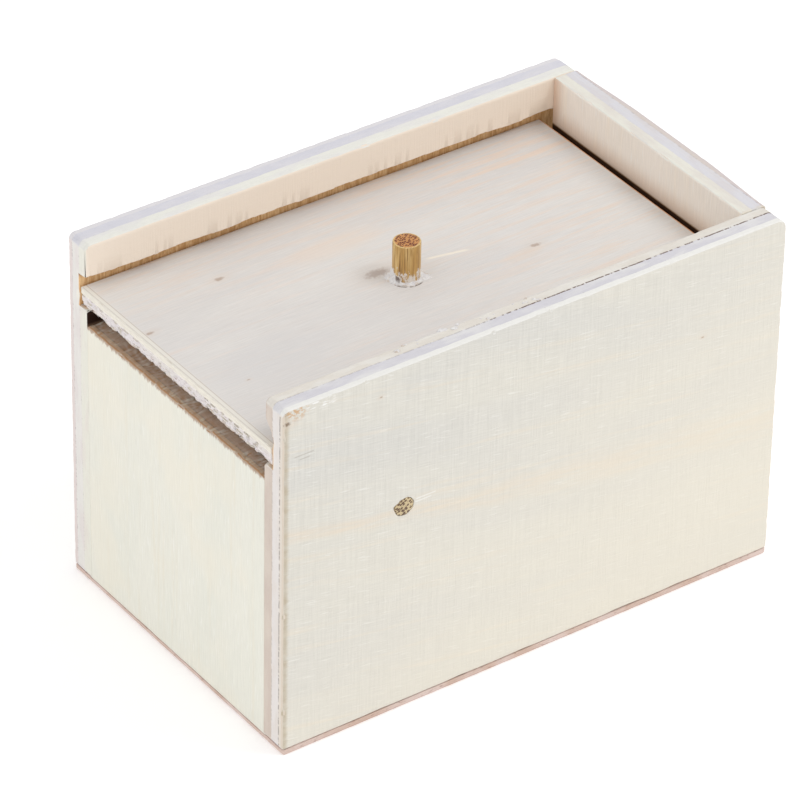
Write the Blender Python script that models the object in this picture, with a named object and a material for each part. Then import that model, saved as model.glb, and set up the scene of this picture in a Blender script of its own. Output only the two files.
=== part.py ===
"""Plywood surprise box: a sliding lid holds down a sprung wire arm that carries a rubber mouse.

Frame: metres, +Z up, origin under the middle of the box. The lid slides out towards -X (the
front), +X is the closed back, and the bamboo cross pin that the arm turns on runs along Y.
The box is modelled shut. Arm shapes are written as offsets from the cross pin's axis.
"""
import math

import bmesh
import bpy
from mathutils import Matrix, Vector

MM = 0.001

# Box, outside
LENGTH = 93 * MM
WIDTH = 58 * MM
HEIGHT = 63 * MM

# Panels
WALL = 5.0 * MM                 # three-ply sides, front and back
BOTTOM_THICK = 0.9 * MM         # thin sheet under the walls
GLUE_GAP = 0.3 * MM             # glue line between panels, and room around moving pieces
EDGE_ROUND = 0.3 * MM           # sanded arrises
FRONT_TOP_R = 1.0 * MM          # sanded corners of the side panels
REAR_TOP_R = 2.4 * MM
LOW_CORNER_R = 1.3 * MM
FRONT_HEIGHT = 48.6 * MM        # the front panel stops below the lid

# Lid and the grooves that it slides in
GROOVE_DEPTH = 2.0 * MM
GROOVE_LOW = 51.3 * MM
GROOVE_HIGH = 57.1 * MM
LID_THICK = 3.3 * MM
LID_BACK_GAP = 1.3 * MM         # the shut lid stops just short of the back panel
PEG_RADIUS = 2.2 * MM
PEG_RISE = 6.6 * MM             # knob height above the lid
PEG_X = -3.9 * MM
PEG_Y = 0.3 * MM
GLUE_RING_RADIUS = 4.3 * MM
GLUE_RING_RISE = 1.2 * MM
GLUE_PROFILE = ((1, 0), (0.75, 0.25), (0.4, 0.55), (0.12, 1), (0, 1), (0, 0))   # shares out, up
GLUE_LOBES = ((0.16, 3, 0.6), (0.10, 5, 0.0))       # share of the reach, lobes, turn in radians

# Cross pin
PIN_X = -24.7 * MM
PIN_Z = 37.6 * MM
PIN_RADIUS = 1.85 * MM

# Wire bail: an eye on the pin at each side, two legs and a bar through the mouse
BAIL_WIRE_R = 0.8 * MM
EYE_Y = 20.5 * MM               # plane of each leg
EYE_PITCH = 1.9 * MM
EYE_TURN_DEG = 400
LEG_ANGLE_DEG = -58             # from +X, down towards the back
LEG_LENGTH = 29 * MM
BAR_HALF = 10.3 * MM            # legs close in to this half width beside the mouse
BAR_X = 33.5 * MM
BAR_Z = -28.9 * MM
CLOSE_IN_X = 19.5 * MM          # where the legs have closed in
BEND_R = 2.2 * MM

# Double torsion spring: a bridge on the front panel, two coils on the pin, two hooks
SPRING_WIRE_R = 0.45 * MM
COIL_CLEARANCE = 0.4 * MM
COIL_PITCH = 1.2 * MM
COIL_OUTER_Y = 18.6 * MM        # plane of each moving leg
COIL_TURNS = 5
HOOK_ANGLE_DEG = -65
HOOK_REACH = 13 * MM
HOOK_LENGTH = 3.4 * MM
HOOK_BEND_R = 0.9 * MM
BRIDGE_DROP = 12 * MM           # bridge below the pin
BRIDGE_BEND_R = 1.2 * MM

# Mouse, belly up in the shut box, nose to the back
MOUSE_RUMP_X = 15.5 * MM
MOUSE_LENGTH = 42 * MM
MOUSE_HALF_WIDTH = 9.0 * MM
MOUSE_HALF_HEIGHT = 6.4 * MM
MOUSE_Z = -29.4 * MM
MOUSE_HEAD_RISE = 2.5 * MM
WIDTH_POWERS = (0.5, 0.75)      # rump and snout powers of the width curve
HEIGHT_POWERS = (0.5, 0.65)
BACK_DEG = -90                  # round the body: 0 is +Y, 90 the belly, -90 the back
BELLY_DEG = 90
EAR_HALF = Vector((0.8, 3.5, 3.5)) * MM
EAR_SHARE = 0.72                # places along the body are shares from rump to snout
EAR_DEG = 52                    # either side of the back
EAR_TURN_DEG = (40, 12)         # spread outwards, lean backwards
EAR_LIFT = 1.0 * MM
BEAD_RADIUS = 1.0 * MM
BEAD_SHARE = 0.84
BEAD_DEG = 55
BEAD_LIFT = 0.3 * MM
NOSE_RADIUS = 1.2 * MM
NOSE_FORWARD = 0.2 * MM
PAW_HALF = Vector((2.6, 1.3, 1.5)) * MM
PAW_SHARES = (0.15, 0.64)
PAW_DEG = 38                    # either side of the belly
PAW_LIFT = 0.3 * MM
TAIL_RADIUS = 1.1 * MM
TAIL_TIP_RADIUS = 0.4 * MM
TAIL_INSET = 0.8 * MM           # the tail starts inside the rump
TAIL_REACH = 26 * MM
TAIL_SWAY = 4 * MM
TAIL_DROP = 4.4 * MM
TAIL_STEPS = 12
THREAD_RADIUS = 0.35 * MM
THREAD_TURNS = 3
THREAD_X = 25 * MM
THREAD_PITCH = 1.1 * MM
THREAD_STEPS = 40               # per turn
THREAD_POWER = 0.8              # below 1 squares the loops towards the bail's legs

# Derived places
HALF_L = LENGTH / 2
HALF_W = WIDTH / 2
INNER_HALF_W = HALF_W - WALL
BACK_FACE_X = HALF_L - WALL
FRONT_FACE_X = -HALF_L + WALL
WALL_LOW = BOTTOM_THICK + GLUE_GAP
LID_LOW = GROOVE_LOW + GLUE_GAP
LID_TOP = LID_LOW + LID_THICK
LID_BACK_X = BACK_FACE_X - LID_BACK_GAP
LID_HALF_W = INNER_HALF_W + GROOVE_DEPTH - GLUE_GAP
PIN = Vector((PIN_X, 0, PIN_Z))

# Facets
ROUND_SIDES = 24
GLUE_SIDES = 28
SMALL_SIDES = 12
ARC_STEPS = 5
SMOOTH_ANGLE_DEG = 40
SHARP_ANGLE_DEG = 50            # edges sharper than this are rounded
CUT_OVERRUN = 2 * MM            # cutters reach past what they cut

COLOURS = {
    "plywood": ((0.80, 0.75, 0.64), 0.75, 0.0),
    "bottom_sheet": ((0.62, 0.47, 0.38), 0.80, 0.0),
    "bamboo": ((0.58, 0.37, 0.17), 0.55, 0.0),
    "glue": ((0.82, 0.83, 0.84), 0.35, 0.0),
    "steel": ((0.52, 0.52, 0.54), 0.30, 1.0),
    "grey_rubber": ((0.20, 0.19, 0.19), 0.60, 0.0),
    "pink_rubber": ((0.70, 0.36, 0.33), 0.55, 0.0),
    "black_bead": ((0.01, 0.01, 0.01), 0.12, 0.0),
    "thread": ((0.62, 0.56, 0.45), 0.90, 0.0),
}


# ---------------------------------------------------------------- scene helpers

def clear_scene():
    for item in list(bpy.data.objects):
        bpy.data.objects.remove(item, do_unlink=True)


def material(name):
    found = bpy.data.materials.get(name)
    if found:
        return found
    colour, roughness, metallic = COLOURS[name]
    made = bpy.data.materials.new(name)
    made.use_nodes = True
    shader = made.node_tree.nodes["Principled BSDF"]
    shader.inputs["Base Color"].default_value = (*colour, 1)
    shader.inputs["Roughness"].default_value = roughness
    shader.inputs["Metallic"].default_value = metallic
    return made


def empty(name, place):
    made = bpy.data.objects.new(name, None)
    made.location = place
    bpy.context.collection.objects.link(made)
    return made


def add_object(name, mesh_data, finish, parent, smooth=False):
    """Turn a bmesh, given in the parent's coordinates, into a named object."""
    bmesh.ops.recalc_face_normals(mesh_data, faces=mesh_data.faces)
    mesh = bpy.data.meshes.new(name)
    mesh_data.to_mesh(mesh)
    mesh_data.free()
    if smooth:
        mesh.shade_smooth()
        mesh.set_sharp_from_angle(angle=math.radians(SMOOTH_ANGLE_DEG))
    made = bpy.data.objects.new(name, mesh)
    bpy.context.collection.objects.link(made)
    made.parent = parent
    if finish:
        made.data.materials.append(material(finish))
    return made


def add_cutter(name, mesh_data, parent):
    made = add_object(name, mesh_data, None, parent)
    made.hide_render = True
    made.display_type = "WIRE"
    return made


def cut(piece, cutter):
    step = piece.modifiers.new("cut " + cutter.name, "BOOLEAN")
    step.operation = "DIFFERENCE"
    step.solver = "EXACT"
    step.object = cutter


def round_edges(piece, width=EDGE_ROUND):
    step = piece.modifiers.new("sanded edges", "BEVEL")
    step.width = width
    step.segments = 2
    step.limit_method = "ANGLE"
    step.angle_limit = math.radians(SHARP_ANGLE_DEG)


# ---------------------------------------------------------------- shape helpers

def box_mesh(low, high):
    mesh_data = bmesh.new()
    bmesh.ops.create_cube(mesh_data, size=1)
    low, high = Vector(low), Vector(high)
    size = high - low
    for vert in mesh_data.verts:
        vert.co = Vector(low[k] + (vert.co[k] + 0.5) * size[k] for k in range(3))
    return mesh_data


def rounded_rectangle(low, high, radii):
    """Outline with rounded corners, radii from the low right corner round to the low left."""
    low_right, high_right, high_left, low_left = radii
    corners = (
        (high[0] - low_right, low[1] + low_right, low_right, -90),
        (high[0] - high_right, high[1] - high_right, high_right, 0),
        (low[0] + high_left, high[1] - high_left, high_left, 90),
        (low[0] + low_left, low[1] + low_left, low_left, 180),
    )
    points = []
    for centre_u, centre_v, radius, start in corners:
        for step in range(ARC_STEPS + 1):
            angle = math.radians(start + 90 * step / ARC_STEPS)
            points.append((centre_u + radius * math.cos(angle), centre_v + radius * math.sin(angle)))
    return points


def prism(outline, axis, low, high):
    """Extrude a 2D outline along Y (outline in X, Z) or along Z (outline in X, Y)."""
    mesh_data = bmesh.new()

    def place(point, depth):
        return (point[0], depth, point[1]) if axis == "Y" else (point[0], point[1], depth)

    base = mesh_data.faces.new([mesh_data.verts.new(place(p, low)) for p in outline])
    grown = bmesh.ops.extrude_face_region(mesh_data, geom=[base])["geom"]
    shift = Vector(place((0, 0), high - low))
    bmesh.ops.translate(mesh_data, vec=shift, verts=[g for g in grown if isinstance(g, bmesh.types.BMVert)])
    return mesh_data


def rod(start, end, radius, sides=ROUND_SIDES):
    """Straight round rod between two points."""
    start, end = Vector(start), Vector(end)
    along = end - start
    mesh_data = bmesh.new()
    turn = along.to_track_quat("Z", "Y").to_matrix().to_4x4()
    bmesh.ops.create_cone(
        mesh_data, cap_ends=True, segments=sides, radius1=radius, radius2=radius, depth=along.length,
        matrix=Matrix.Translation((start + end) / 2) @ turn,
    )
    return mesh_data


def ball(mesh_data, centre, half, turn=Matrix(), sides=16):
    """Add an ellipsoid with the given half sizes to a bmesh."""
    matrix = Matrix.Translation(centre) @ turn @ Matrix.Diagonal((*half, 1))
    bmesh.ops.create_uvsphere(mesh_data, u_segments=sides, v_segments=sides // 2, radius=1, matrix=matrix)


def tube(mesh_data, path, radii, sides=8):
    """Sweep a round section, one radius for each point, along a path without twist."""
    last = len(path) - 1
    normal = (path[1] - path[0]).orthogonal().normalized()
    rings = []
    for k, (point, radius) in enumerate(zip(path, radii)):
        direction = (path[min(last, k + 1)] - path[max(0, k - 1)]).normalized()
        normal = (normal - direction * normal.dot(direction)).normalized()
        across = direction.cross(normal)
        angles = [2 * math.pi * j / sides for j in range(sides)]
        rings.append([
            mesh_data.verts.new(point + radius * (normal * math.cos(a) + across * math.sin(a)))
            for a in angles
        ])
    for one, two in zip(rings, rings[1:]):
        for k in range(sides):
            mesh_data.faces.new((one[k], one[(k + 1) % sides], two[(k + 1) % sides], two[k]))
    mesh_data.faces.new(rings[0])
    mesh_data.faces.new(rings[-1])


def filleted(corners, radius):
    """A 3D polyline whose inner corners are replaced by arcs of the given radius."""
    path = [corners[0]]
    for before, corner, after in zip(corners, corners[1:], corners[2:]):
        back = (before - corner).normalized()
        on = (after - corner).normalized()
        half_angle = back.angle(on) / 2
        trim = radius / math.tan(half_angle)
        centre = corner + (back + on).normalized() * (radius / math.sin(half_angle))
        first = (corner + back * trim - centre).normalized()
        last = (corner + on * trim - centre).normalized()
        for step in range(ARC_STEPS + 1):
            path.append(centre + radius * first.slerp(last, step / ARC_STEPS))
    path.append(corners[-1])
    return path


def circle_point(radius, angle_deg, y):
    angle = math.radians(angle_deg)
    return Vector((radius * math.cos(angle), y, radius * math.sin(angle)))


def helix(radius, start_deg, end_deg, start_y, end_y, step_deg=20):
    count = max(2, round(abs(end_deg - start_deg) / step_deg))
    path = []
    for k in range(count + 1):
        share = k / count
        angle = start_deg + (end_deg - start_deg) * share
        path.append(circle_point(radius, angle, start_y + (end_y - start_y) * share))
    return path


def mirrored(path):
    return [Vector((p.x, -p.y, p.z)) for p in reversed(path)]


# ---------------------------------------------------------------- box

def make_bottom(frame):
    outline = rounded_rectangle((-HALF_L, -HALF_W), (HALF_L, HALF_W), (LOW_CORNER_R,) * 4)
    add_object("bottom_panel", prism(outline, "Z", 0, BOTTOM_THICK), "bottom_sheet", frame)


def make_side(name, frame, side, groove, pin_hole):
    radii = (LOW_CORNER_R, REAR_TOP_R, FRONT_TOP_R, LOW_CORNER_R)
    outline = rounded_rectangle((-HALF_L, WALL_LOW), (HALF_L, HEIGHT), radii)
    inner, outer = sorted((side * INNER_HALF_W, side * HALF_W))
    panel = add_object(name, prism(outline, "Y", inner, outer), "plywood", frame)
    round_edges(panel)
    cut(panel, groove)
    cut(panel, pin_hole)


def make_end(name, frame, low_x, high_x, top):
    half = INNER_HALF_W - GLUE_GAP
    panel = add_object(name, box_mesh((low_x, -half, WALL_LOW), (high_x, half, top)), "plywood", frame)
    round_edges(panel)


def make_box(frame):
    groove_half = INNER_HALF_W + GROOVE_DEPTH
    groove = add_cutter("lid_groove_cut", box_mesh(
        (-HALF_L - CUT_OVERRUN, -groove_half, GROOVE_LOW),
        (HALF_L + CUT_OVERRUN, groove_half, GROOVE_HIGH)), frame)
    hole = add_cutter("pin_hole_cut", rod(
        (PIN_X, -HALF_W - CUT_OVERRUN, PIN_Z), (PIN_X, HALF_W + CUT_OVERRUN, PIN_Z),
        PIN_RADIUS + GLUE_GAP), frame)
    make_bottom(frame)
    make_side("left_side_panel", frame, 1, groove, hole)
    make_side("right_side_panel", frame, -1, groove, hole)
    make_end("front_panel", frame, -HALF_L, FRONT_FACE_X, FRONT_HEIGHT)
    make_end("back_panel", frame, BACK_FACE_X, HALF_L, HEIGHT)
    pin = rod((PIN_X, -HALF_W, PIN_Z), (PIN_X, HALF_W, PIN_Z), PIN_RADIUS)
    add_object("cross_pin", pin, "bamboo", frame, smooth=True)


# ---------------------------------------------------------------- lid

def glue_ring():
    """Squeezed-out glue around the peg, wider in some directions than in others."""
    mesh_data = bmesh.new()
    inner = PEG_RADIUS + GLUE_GAP
    floor = LID_TOP + GLUE_GAP
    rings = []
    for k in range(GLUE_SIDES):
        angle = 2 * math.pi * k / GLUE_SIDES
        spread = 1 + sum(size * math.sin(lobes * angle + turn) for size, lobes, turn in GLUE_LOBES)
        reach = (GLUE_RING_RADIUS - inner) * spread
        rings.append([
            mesh_data.verts.new((
                PEG_X + (inner + reach * out) * math.cos(angle),
                PEG_Y + (inner + reach * out) * math.sin(angle),
                floor + GLUE_RING_RISE * up,
            ))
            for out, up in GLUE_PROFILE
        ])
    for k in range(GLUE_SIDES):
        one, two = rings[k], rings[(k + 1) % GLUE_SIDES]
        for j in range(len(GLUE_PROFILE)):
            after = (j + 1) % len(GLUE_PROFILE)
            mesh_data.faces.new((one[j], two[j], two[after], one[after]))
    return mesh_data


def make_lid(lid):
    panel = add_object("lid_panel", box_mesh(
        (-HALF_L, -LID_HALF_W, LID_LOW), (LID_BACK_X, LID_HALF_W, LID_TOP)), "plywood", lid)
    round_edges(panel)
    hole = add_cutter("peg_hole_cut", rod(
        (PEG_X, PEG_Y, LID_LOW - LID_THICK), (PEG_X, PEG_Y, LID_TOP + LID_THICK),
        PEG_RADIUS + GLUE_GAP), lid)
    cut(panel, hole)
    peg = rod((PEG_X, PEG_Y, LID_LOW), (PEG_X, PEG_Y, LID_TOP + PEG_RISE), PEG_RADIUS)
    add_object("lid_peg", peg, "bamboo", lid, smooth=True)
    add_object("peg_glue", glue_ring(), "glue", lid, smooth=True)


# ---------------------------------------------------------------- arm and spring

def bail_half_path():
    """One eye on the pin, its leg and the bend into the bar, on the -Y side."""
    radius = PIN_RADIUS + GLUE_GAP + BAIL_WIRE_R
    leave = LEG_ANGLE_DEG - 90
    eye_axial = EYE_PITCH * EYE_TURN_DEG / 360
    eye = helix(radius, leave - EYE_TURN_DEG, leave, -EYE_Y - eye_axial, -EYE_Y)
    knee = eye[-1] + circle_point(LEG_LENGTH, LEG_ANGLE_DEG, 0)
    beside = Vector((CLOSE_IN_X, -BAR_HALF, BAR_Z))
    corner = Vector((BAR_X, -BAR_HALF, BAR_Z))
    bar_middle = Vector((BAR_X, 0, BAR_Z))
    leg = filleted([eye[-1], knee, beside, corner, bar_middle], BEND_R)
    return eye[:-1] + leg


def spring_half_path():
    """Bridge middle, fixed leg, coil, moving leg and hook, on the -Y side."""
    radius = PIN_RADIUS + COIL_CLEARANCE + SPRING_WIRE_R
    bridge_x = FRONT_FACE_X + GLUE_GAP + SPRING_WIRE_R - PIN_X
    turn_y = -COIL_OUTER_Y + COIL_PITCH * (COIL_TURNS - 0.25)
    bridge = Vector((bridge_x, turn_y, -BRIDGE_DROP))
    reach = math.hypot(bridge_x, BRIDGE_DROP)
    heading = math.degrees(math.atan2(-BRIDGE_DROP, bridge_x) - math.asin(radius / reach)) + 180
    meet = heading - 90
    leave = HOOK_ANGLE_DEG - 90 + 360 * COIL_TURNS
    coil = helix(radius, meet, leave, turn_y, -COIL_OUTER_Y)
    tip = coil[-1] + circle_point(HOOK_REACH, HOOK_ANGLE_DEG, 0)
    hook_end = tip - Vector((0, HOOK_LENGTH, 0))
    middle = Vector((bridge_x, 0, -BRIDGE_DROP))
    fixed = filleted([middle, bridge, coil[0]], BRIDGE_BEND_R)
    moving = filleted([coil[-1], tip, hook_end], HOOK_BEND_R)
    return fixed[:-1] + coil[:-1] + moving


def wire(path, radius, sides):
    mesh_data = bmesh.new()
    tube(mesh_data, path, [radius] * len(path), sides)
    return mesh_data


def make_bail(arm):
    half = bail_half_path()
    path = half + mirrored(half)[1:]
    add_object("wire_bail", wire(path, BAIL_WIRE_R, sides=10), "steel", arm, smooth=True)


def make_spring(pin_frame):
    half = spring_half_path()
    path = half[::-1] + mirrored(half[::-1])[1:]
    add_object("torsion_spring", wire(path, SPRING_WIRE_R, sides=8), "steel", pin_frame, smooth=True)


# ---------------------------------------------------------------- mouse

def pear(share, powers):
    """0 at both ends, 1 at the fullest place, round at the rump and drawn out to the snout."""
    rear, front = powers
    fullest = rear / (rear + front)
    return (share / fullest) ** rear * ((1 - share) / (1 - fullest)) ** front


def mouse_section(share):
    """Centre and half sizes of the body at a share of its length from rump to snout."""
    centre = Vector((MOUSE_RUMP_X + MOUSE_LENGTH * share, 0, MOUSE_Z + MOUSE_HEAD_RISE * share ** 2))
    half_width = MOUSE_HALF_WIDTH * pear(share, WIDTH_POWERS)
    half_height = MOUSE_HALF_HEIGHT * pear(share, HEIGHT_POWERS)
    return centre, half_width, half_height


def mouse_point(share, angle_deg, lift=0.0):
    """A point on the body's skin; 0 degrees is +Y, 90 the belly (up in the shut box)."""
    centre, half_width, half_height = mouse_section(share)
    angle = math.radians(angle_deg)
    across, up = math.cos(angle), math.sin(angle)
    return centre + Vector((0, (half_width + lift) * across, (half_height + lift) * up))


def mouse_mesh(swell=0.0, rings=16, sides=20):
    mesh_data = bmesh.new()
    loops = []
    for k in range(1, rings):
        share = 0.5 - 0.5 * math.cos(math.pi * k / rings)
        loops.append([
            mesh_data.verts.new(mouse_point(share, 360 * j / sides, swell)) for j in range(sides)
        ])
    for one, two in zip(loops, loops[1:]):
        for j in range(sides):
            mesh_data.faces.new((one[j], one[(j + 1) % sides], two[(j + 1) % sides], two[j]))
    rump = mesh_data.verts.new(mouse_section(0)[0] - Vector((swell, 0, 0)))
    snout = mesh_data.verts.new(mouse_section(1)[0] + Vector((swell, 0, 0)))
    for j in range(sides):
        mesh_data.faces.new((loops[0][j], loops[0][(j + 1) % sides], rump))
        mesh_data.faces.new((loops[-1][j], loops[-1][(j + 1) % sides], snout))
    return mesh_data


def tail_path():
    """From the rump forwards over the floor, with a lazy bend to one side."""
    root = mouse_point(0, 0)
    path = []
    for k in range(TAIL_STEPS + 1):
        share = k / TAIL_STEPS
        path.append(root + Vector((
            TAIL_INSET - TAIL_REACH * share,
            TAIL_SWAY * math.sin(1.6 * math.pi * share),
            -TAIL_DROP * math.sin(0.5 * math.pi * share),
        )))
    return path


def thread_path():
    """Turns of thread around the body and around both legs of the bail beside it."""
    half_width = BAR_HALF + BAIL_WIRE_R + GLUE_GAP + THREAD_RADIUS
    path = []
    for k in range(THREAD_TURNS * THREAD_STEPS):
        x = THREAD_X + THREAD_PITCH * k / THREAD_STEPS
        centre, _, half_height = mouse_section((x - MOUSE_RUMP_X) / MOUSE_LENGTH)
        half_height += GLUE_GAP + THREAD_RADIUS
        angle = 2 * math.pi * k / THREAD_STEPS
        across = math.copysign(abs(math.cos(angle)) ** THREAD_POWER, math.cos(angle))
        up = math.copysign(abs(math.sin(angle)) ** THREAD_POWER, math.sin(angle))
        path.append(centre + Vector((0, half_width * across, half_height * up)))
    return path


def join(piece, other):
    """Join a second closed shape to a piece."""
    step = piece.modifiers.new("join " + other.name, "BOOLEAN")
    step.operation = "UNION"
    step.solver = "EXACT"
    step.object = other


def make_body(arm, bar_hole):
    """Body with four paws joined on, bored for the bail's bar."""
    body = add_object("mouse_body", mouse_mesh(), "grey_rubber", arm, smooth=True)
    for share in PAW_SHARES:
        for side in (1, -1):
            paw = bmesh.new()
            ball(paw, mouse_point(share, BELLY_DEG - side * PAW_DEG, PAW_LIFT), PAW_HALF, sides=SMALL_SIDES)
            join(body, add_cutter("paw_join", paw, arm))
    cut(body, bar_hole)


def make_face(arm, skin):
    for name, side in (("left", 1), ("right", -1)):
        ear = bmesh.new()
        spread, lean = (math.radians(angle) for angle in EAR_TURN_DEG)
        turn = Matrix.Rotation(side * spread, 4, "X") @ Matrix.Rotation(lean, 4, "Y")
        ball(ear, mouse_point(EAR_SHARE, BACK_DEG + side * EAR_DEG, EAR_LIFT), EAR_HALF, turn)
        cut(add_object("mouse_ear_" + name, ear, "pink_rubber", arm, smooth=True), skin)
        bead = bmesh.new()
        place = mouse_point(BEAD_SHARE, BACK_DEG + side * BEAD_DEG, BEAD_LIFT)
        ball(bead, place, (BEAD_RADIUS,) * 3, sides=SMALL_SIDES)
        cut(add_object("mouse_eye_" + name, bead, "black_bead", arm, smooth=True), skin)
    nose = bmesh.new()
    ball(nose, mouse_point(1, 0) + Vector((NOSE_FORWARD, 0, 0)), (NOSE_RADIUS,) * 3, sides=SMALL_SIDES)
    cut(add_object("mouse_nose", nose, "pink_rubber", arm, smooth=True), skin)


def make_tail(arm, skin):
    tail = bmesh.new()
    path = tail_path()
    last = len(path) - 1
    radii = [TAIL_RADIUS + (TAIL_TIP_RADIUS - TAIL_RADIUS) * k / last for k in range(last + 1)]
    tube(tail, path, radii, sides=10)
    cut(add_object("mouse_tail", tail, "pink_rubber", arm, smooth=True), skin)


def make_mouse(arm):
    bar_hole = add_cutter("bar_hole_cut", rod(
        (BAR_X, -HALF_W, BAR_Z), (BAR_X, HALF_W, BAR_Z), BAIL_WIRE_R + GLUE_GAP, SMALL_SIDES), arm)
    skin = add_cutter("mouse_skin_cut", mouse_mesh(swell=GLUE_GAP), arm)
    make_body(arm, bar_hole)
    make_face(arm, skin)
    make_tail(arm, skin)
    add_object("lashing_thread", wire(thread_path(), THREAD_RADIUS, sides=6), "thread", arm, smooth=True)


def main():
    clear_scene()
    make_box(empty("box_frame", (0, 0, 0)))
    make_lid(empty("lid_slide", (0, 0, 0)))
    pivot = empty("arm_pivot", PIN)
    make_bail(pivot)
    make_spring(pivot)
    make_mouse(pivot)


main()
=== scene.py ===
"""Looks of the plywood surprise box: boards, dowels, glue, spring wire and a rubber mouse.

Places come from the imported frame. Shapes are worked out in millimetres in the frame's axes:
-X is the open front, +X the closed back, -Y the near side, +Z up.
"""
import math
import random

import bmesh
import bpy
from mathutils import Matrix, Vector, noise


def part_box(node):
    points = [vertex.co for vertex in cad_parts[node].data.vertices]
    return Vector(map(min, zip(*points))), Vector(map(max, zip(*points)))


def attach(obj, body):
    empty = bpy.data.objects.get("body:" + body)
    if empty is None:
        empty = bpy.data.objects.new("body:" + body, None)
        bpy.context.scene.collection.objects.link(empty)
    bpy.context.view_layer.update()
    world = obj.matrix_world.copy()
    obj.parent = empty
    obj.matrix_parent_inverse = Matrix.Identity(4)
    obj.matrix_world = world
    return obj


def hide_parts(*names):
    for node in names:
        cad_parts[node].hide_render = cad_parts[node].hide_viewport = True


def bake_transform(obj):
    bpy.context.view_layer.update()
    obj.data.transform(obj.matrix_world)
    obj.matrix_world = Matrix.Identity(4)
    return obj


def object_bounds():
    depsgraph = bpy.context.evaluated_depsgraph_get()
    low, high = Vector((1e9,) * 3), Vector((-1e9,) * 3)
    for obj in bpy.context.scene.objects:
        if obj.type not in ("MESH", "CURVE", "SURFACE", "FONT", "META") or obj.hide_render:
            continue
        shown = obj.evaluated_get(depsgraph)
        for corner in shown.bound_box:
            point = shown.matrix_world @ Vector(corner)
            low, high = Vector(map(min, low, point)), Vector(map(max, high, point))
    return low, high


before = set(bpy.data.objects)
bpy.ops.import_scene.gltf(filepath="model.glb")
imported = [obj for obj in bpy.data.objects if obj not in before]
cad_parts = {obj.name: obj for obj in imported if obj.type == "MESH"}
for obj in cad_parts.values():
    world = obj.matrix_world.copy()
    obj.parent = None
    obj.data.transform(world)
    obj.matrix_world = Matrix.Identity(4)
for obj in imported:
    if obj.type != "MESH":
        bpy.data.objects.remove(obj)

MM = 0.001
CAD_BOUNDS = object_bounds()


def span(node):
    """A node's lowest and highest corner, in millimetres."""
    low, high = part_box(node)
    return low / MM, high / MM


# ---------------------------------------------------------------- measures from the frame

BOX_LOW, BOX_HIGH = (corner / MM for corner in CAD_BOUNDS)
HALF_L, HALF_W, HEIGHT = BOX_HIGH
INNER_HALF_W = span("left_side_panel")[0].y
BACK_FACE_X = span("back_panel")[0].x
FRONT_FACE_X, _, FRONT_TOP = span("front_panel")[1]
LID_LOW, LID_HIGH = span("lid_panel")
PIN_LOW, PIN_HIGH = span("cross_pin")
PIN = (PIN_LOW + PIN_HIGH) / 2
PIN_R = (PIN_HIGH.z - PIN_LOW.z) / 2
PEG_LOW, PEG_HIGH = span("lid_peg")
PEG = (PEG_LOW + PEG_HIGH) / 2
PEG_R = (PEG_HIGH.x - PEG_LOW.x) / 2
BODY_LOW, BODY_HIGH = span("mouse_body")

SLIDE_GAP = 0.3                      # play around the lid in its grooves
GROOVE_HALF_W = LID_HIGH.y + SLIDE_GAP
GROOVE_LOW = LID_LOW.z - SLIDE_GAP
GROOVE_HIGH = LID_HIGH.z + 2.2
BOARD_GAP = 0.03                     # hair gap left between glued boards
WALL_LOW = span("bottom_panel")[1].z + BOARD_GAP
FRONT_TOP_R = 1.0
REAR_TOP_R = 1.8
LOW_CORNER_R = 0.45
OUTER_PLY = 1.1                      # thickness of the outer face ply
CORE_END = 3.0                       # depth where the core stops and the inner ply starts
SIDE_ARRIS_R = 0.38
END_ARRIS_R = 0.25
LIP_ARRIS_R = 0.16
THIN_ARRIS_R = 0.14                  # lid and dowels
SHEET_ARRIS_R = 0.12
PLAIN_STEP = 3.0                     # mesh spacing on plain faces
TORN_STEP = 0.3                      # and along torn edges


# ---------------------------------------------------------------- mesh helpers

def smoothstep(value, low, high):
    share = min(1.0, max(0.0, (value - low) / (high - low)))
    return share * share * (3 - 2 * share)


def wave(*place):
    """Smooth noise between about -1 and 1."""
    return noise.noise(Vector((*place, 0.37, 0.71)[:3]))


def humps(*place):
    """Smooth noise with its hollows filled."""
    return max(0.0, wave(*place))


def wave_around(angle, size, third):
    """Smooth noise that closes on itself round a circle."""
    return wave(size * math.cos(angle), size * math.sin(angle), third)


def bump_at(value, centre, width):
    """A bell curve, 1 at its centre."""
    return math.exp(-((value - centre) / width) ** 2)


def add_object(name, content):
    made = bpy.data.objects.new(name, content)
    bpy.context.scene.collection.objects.link(made)
    return made


def as_mesh(name, mesh_data, scale=None):
    """A mesh that takes over a bmesh."""
    if scale:
        bmesh.ops.scale(mesh_data, vec=(scale,) * 3, verts=mesh_data.verts)
    mesh = bpy.data.meshes.new(name)
    mesh_data.to_mesh(mesh)
    mesh_data.free()
    return mesh


def finish_object(name, mesh_data, body, finish, replaced=(), sharp=40):
    """Turn a bmesh in millimetres into a piece that rides on a body, with its material."""
    mesh = as_mesh(name, mesh_data, MM)
    mesh.shade_smooth()
    if sharp:
        mesh.set_sharp_from_angle(angle=math.radians(sharp))
    mesh.materials.append(finish)
    piece = add_object(name, mesh)
    if body:
        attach(piece, body)
    if replaced:
        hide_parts(*replaced)
    return piece


def rounded_rectangle(low, high, radii, arc_steps=8):
    """Outline whose corner radii are given from the low right corner round to the low left."""
    (left, bottom), (right, top) = low, high
    corners = ((right, bottom, -1, 1), (right, top, -1, -1), (left, top, 1, -1), (left, bottom, 1, 1))
    points = []
    for quarter, ((u, v, to_u, to_v), radius) in enumerate(zip(corners, radii)):
        for step in range(arc_steps + 1):
            angle = math.radians(90 * (quarter - 1 + step / arc_steps))
            points.append((u + radius * (to_u + math.cos(angle)), v + radius * (to_v + math.sin(angle))))
    return points


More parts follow.
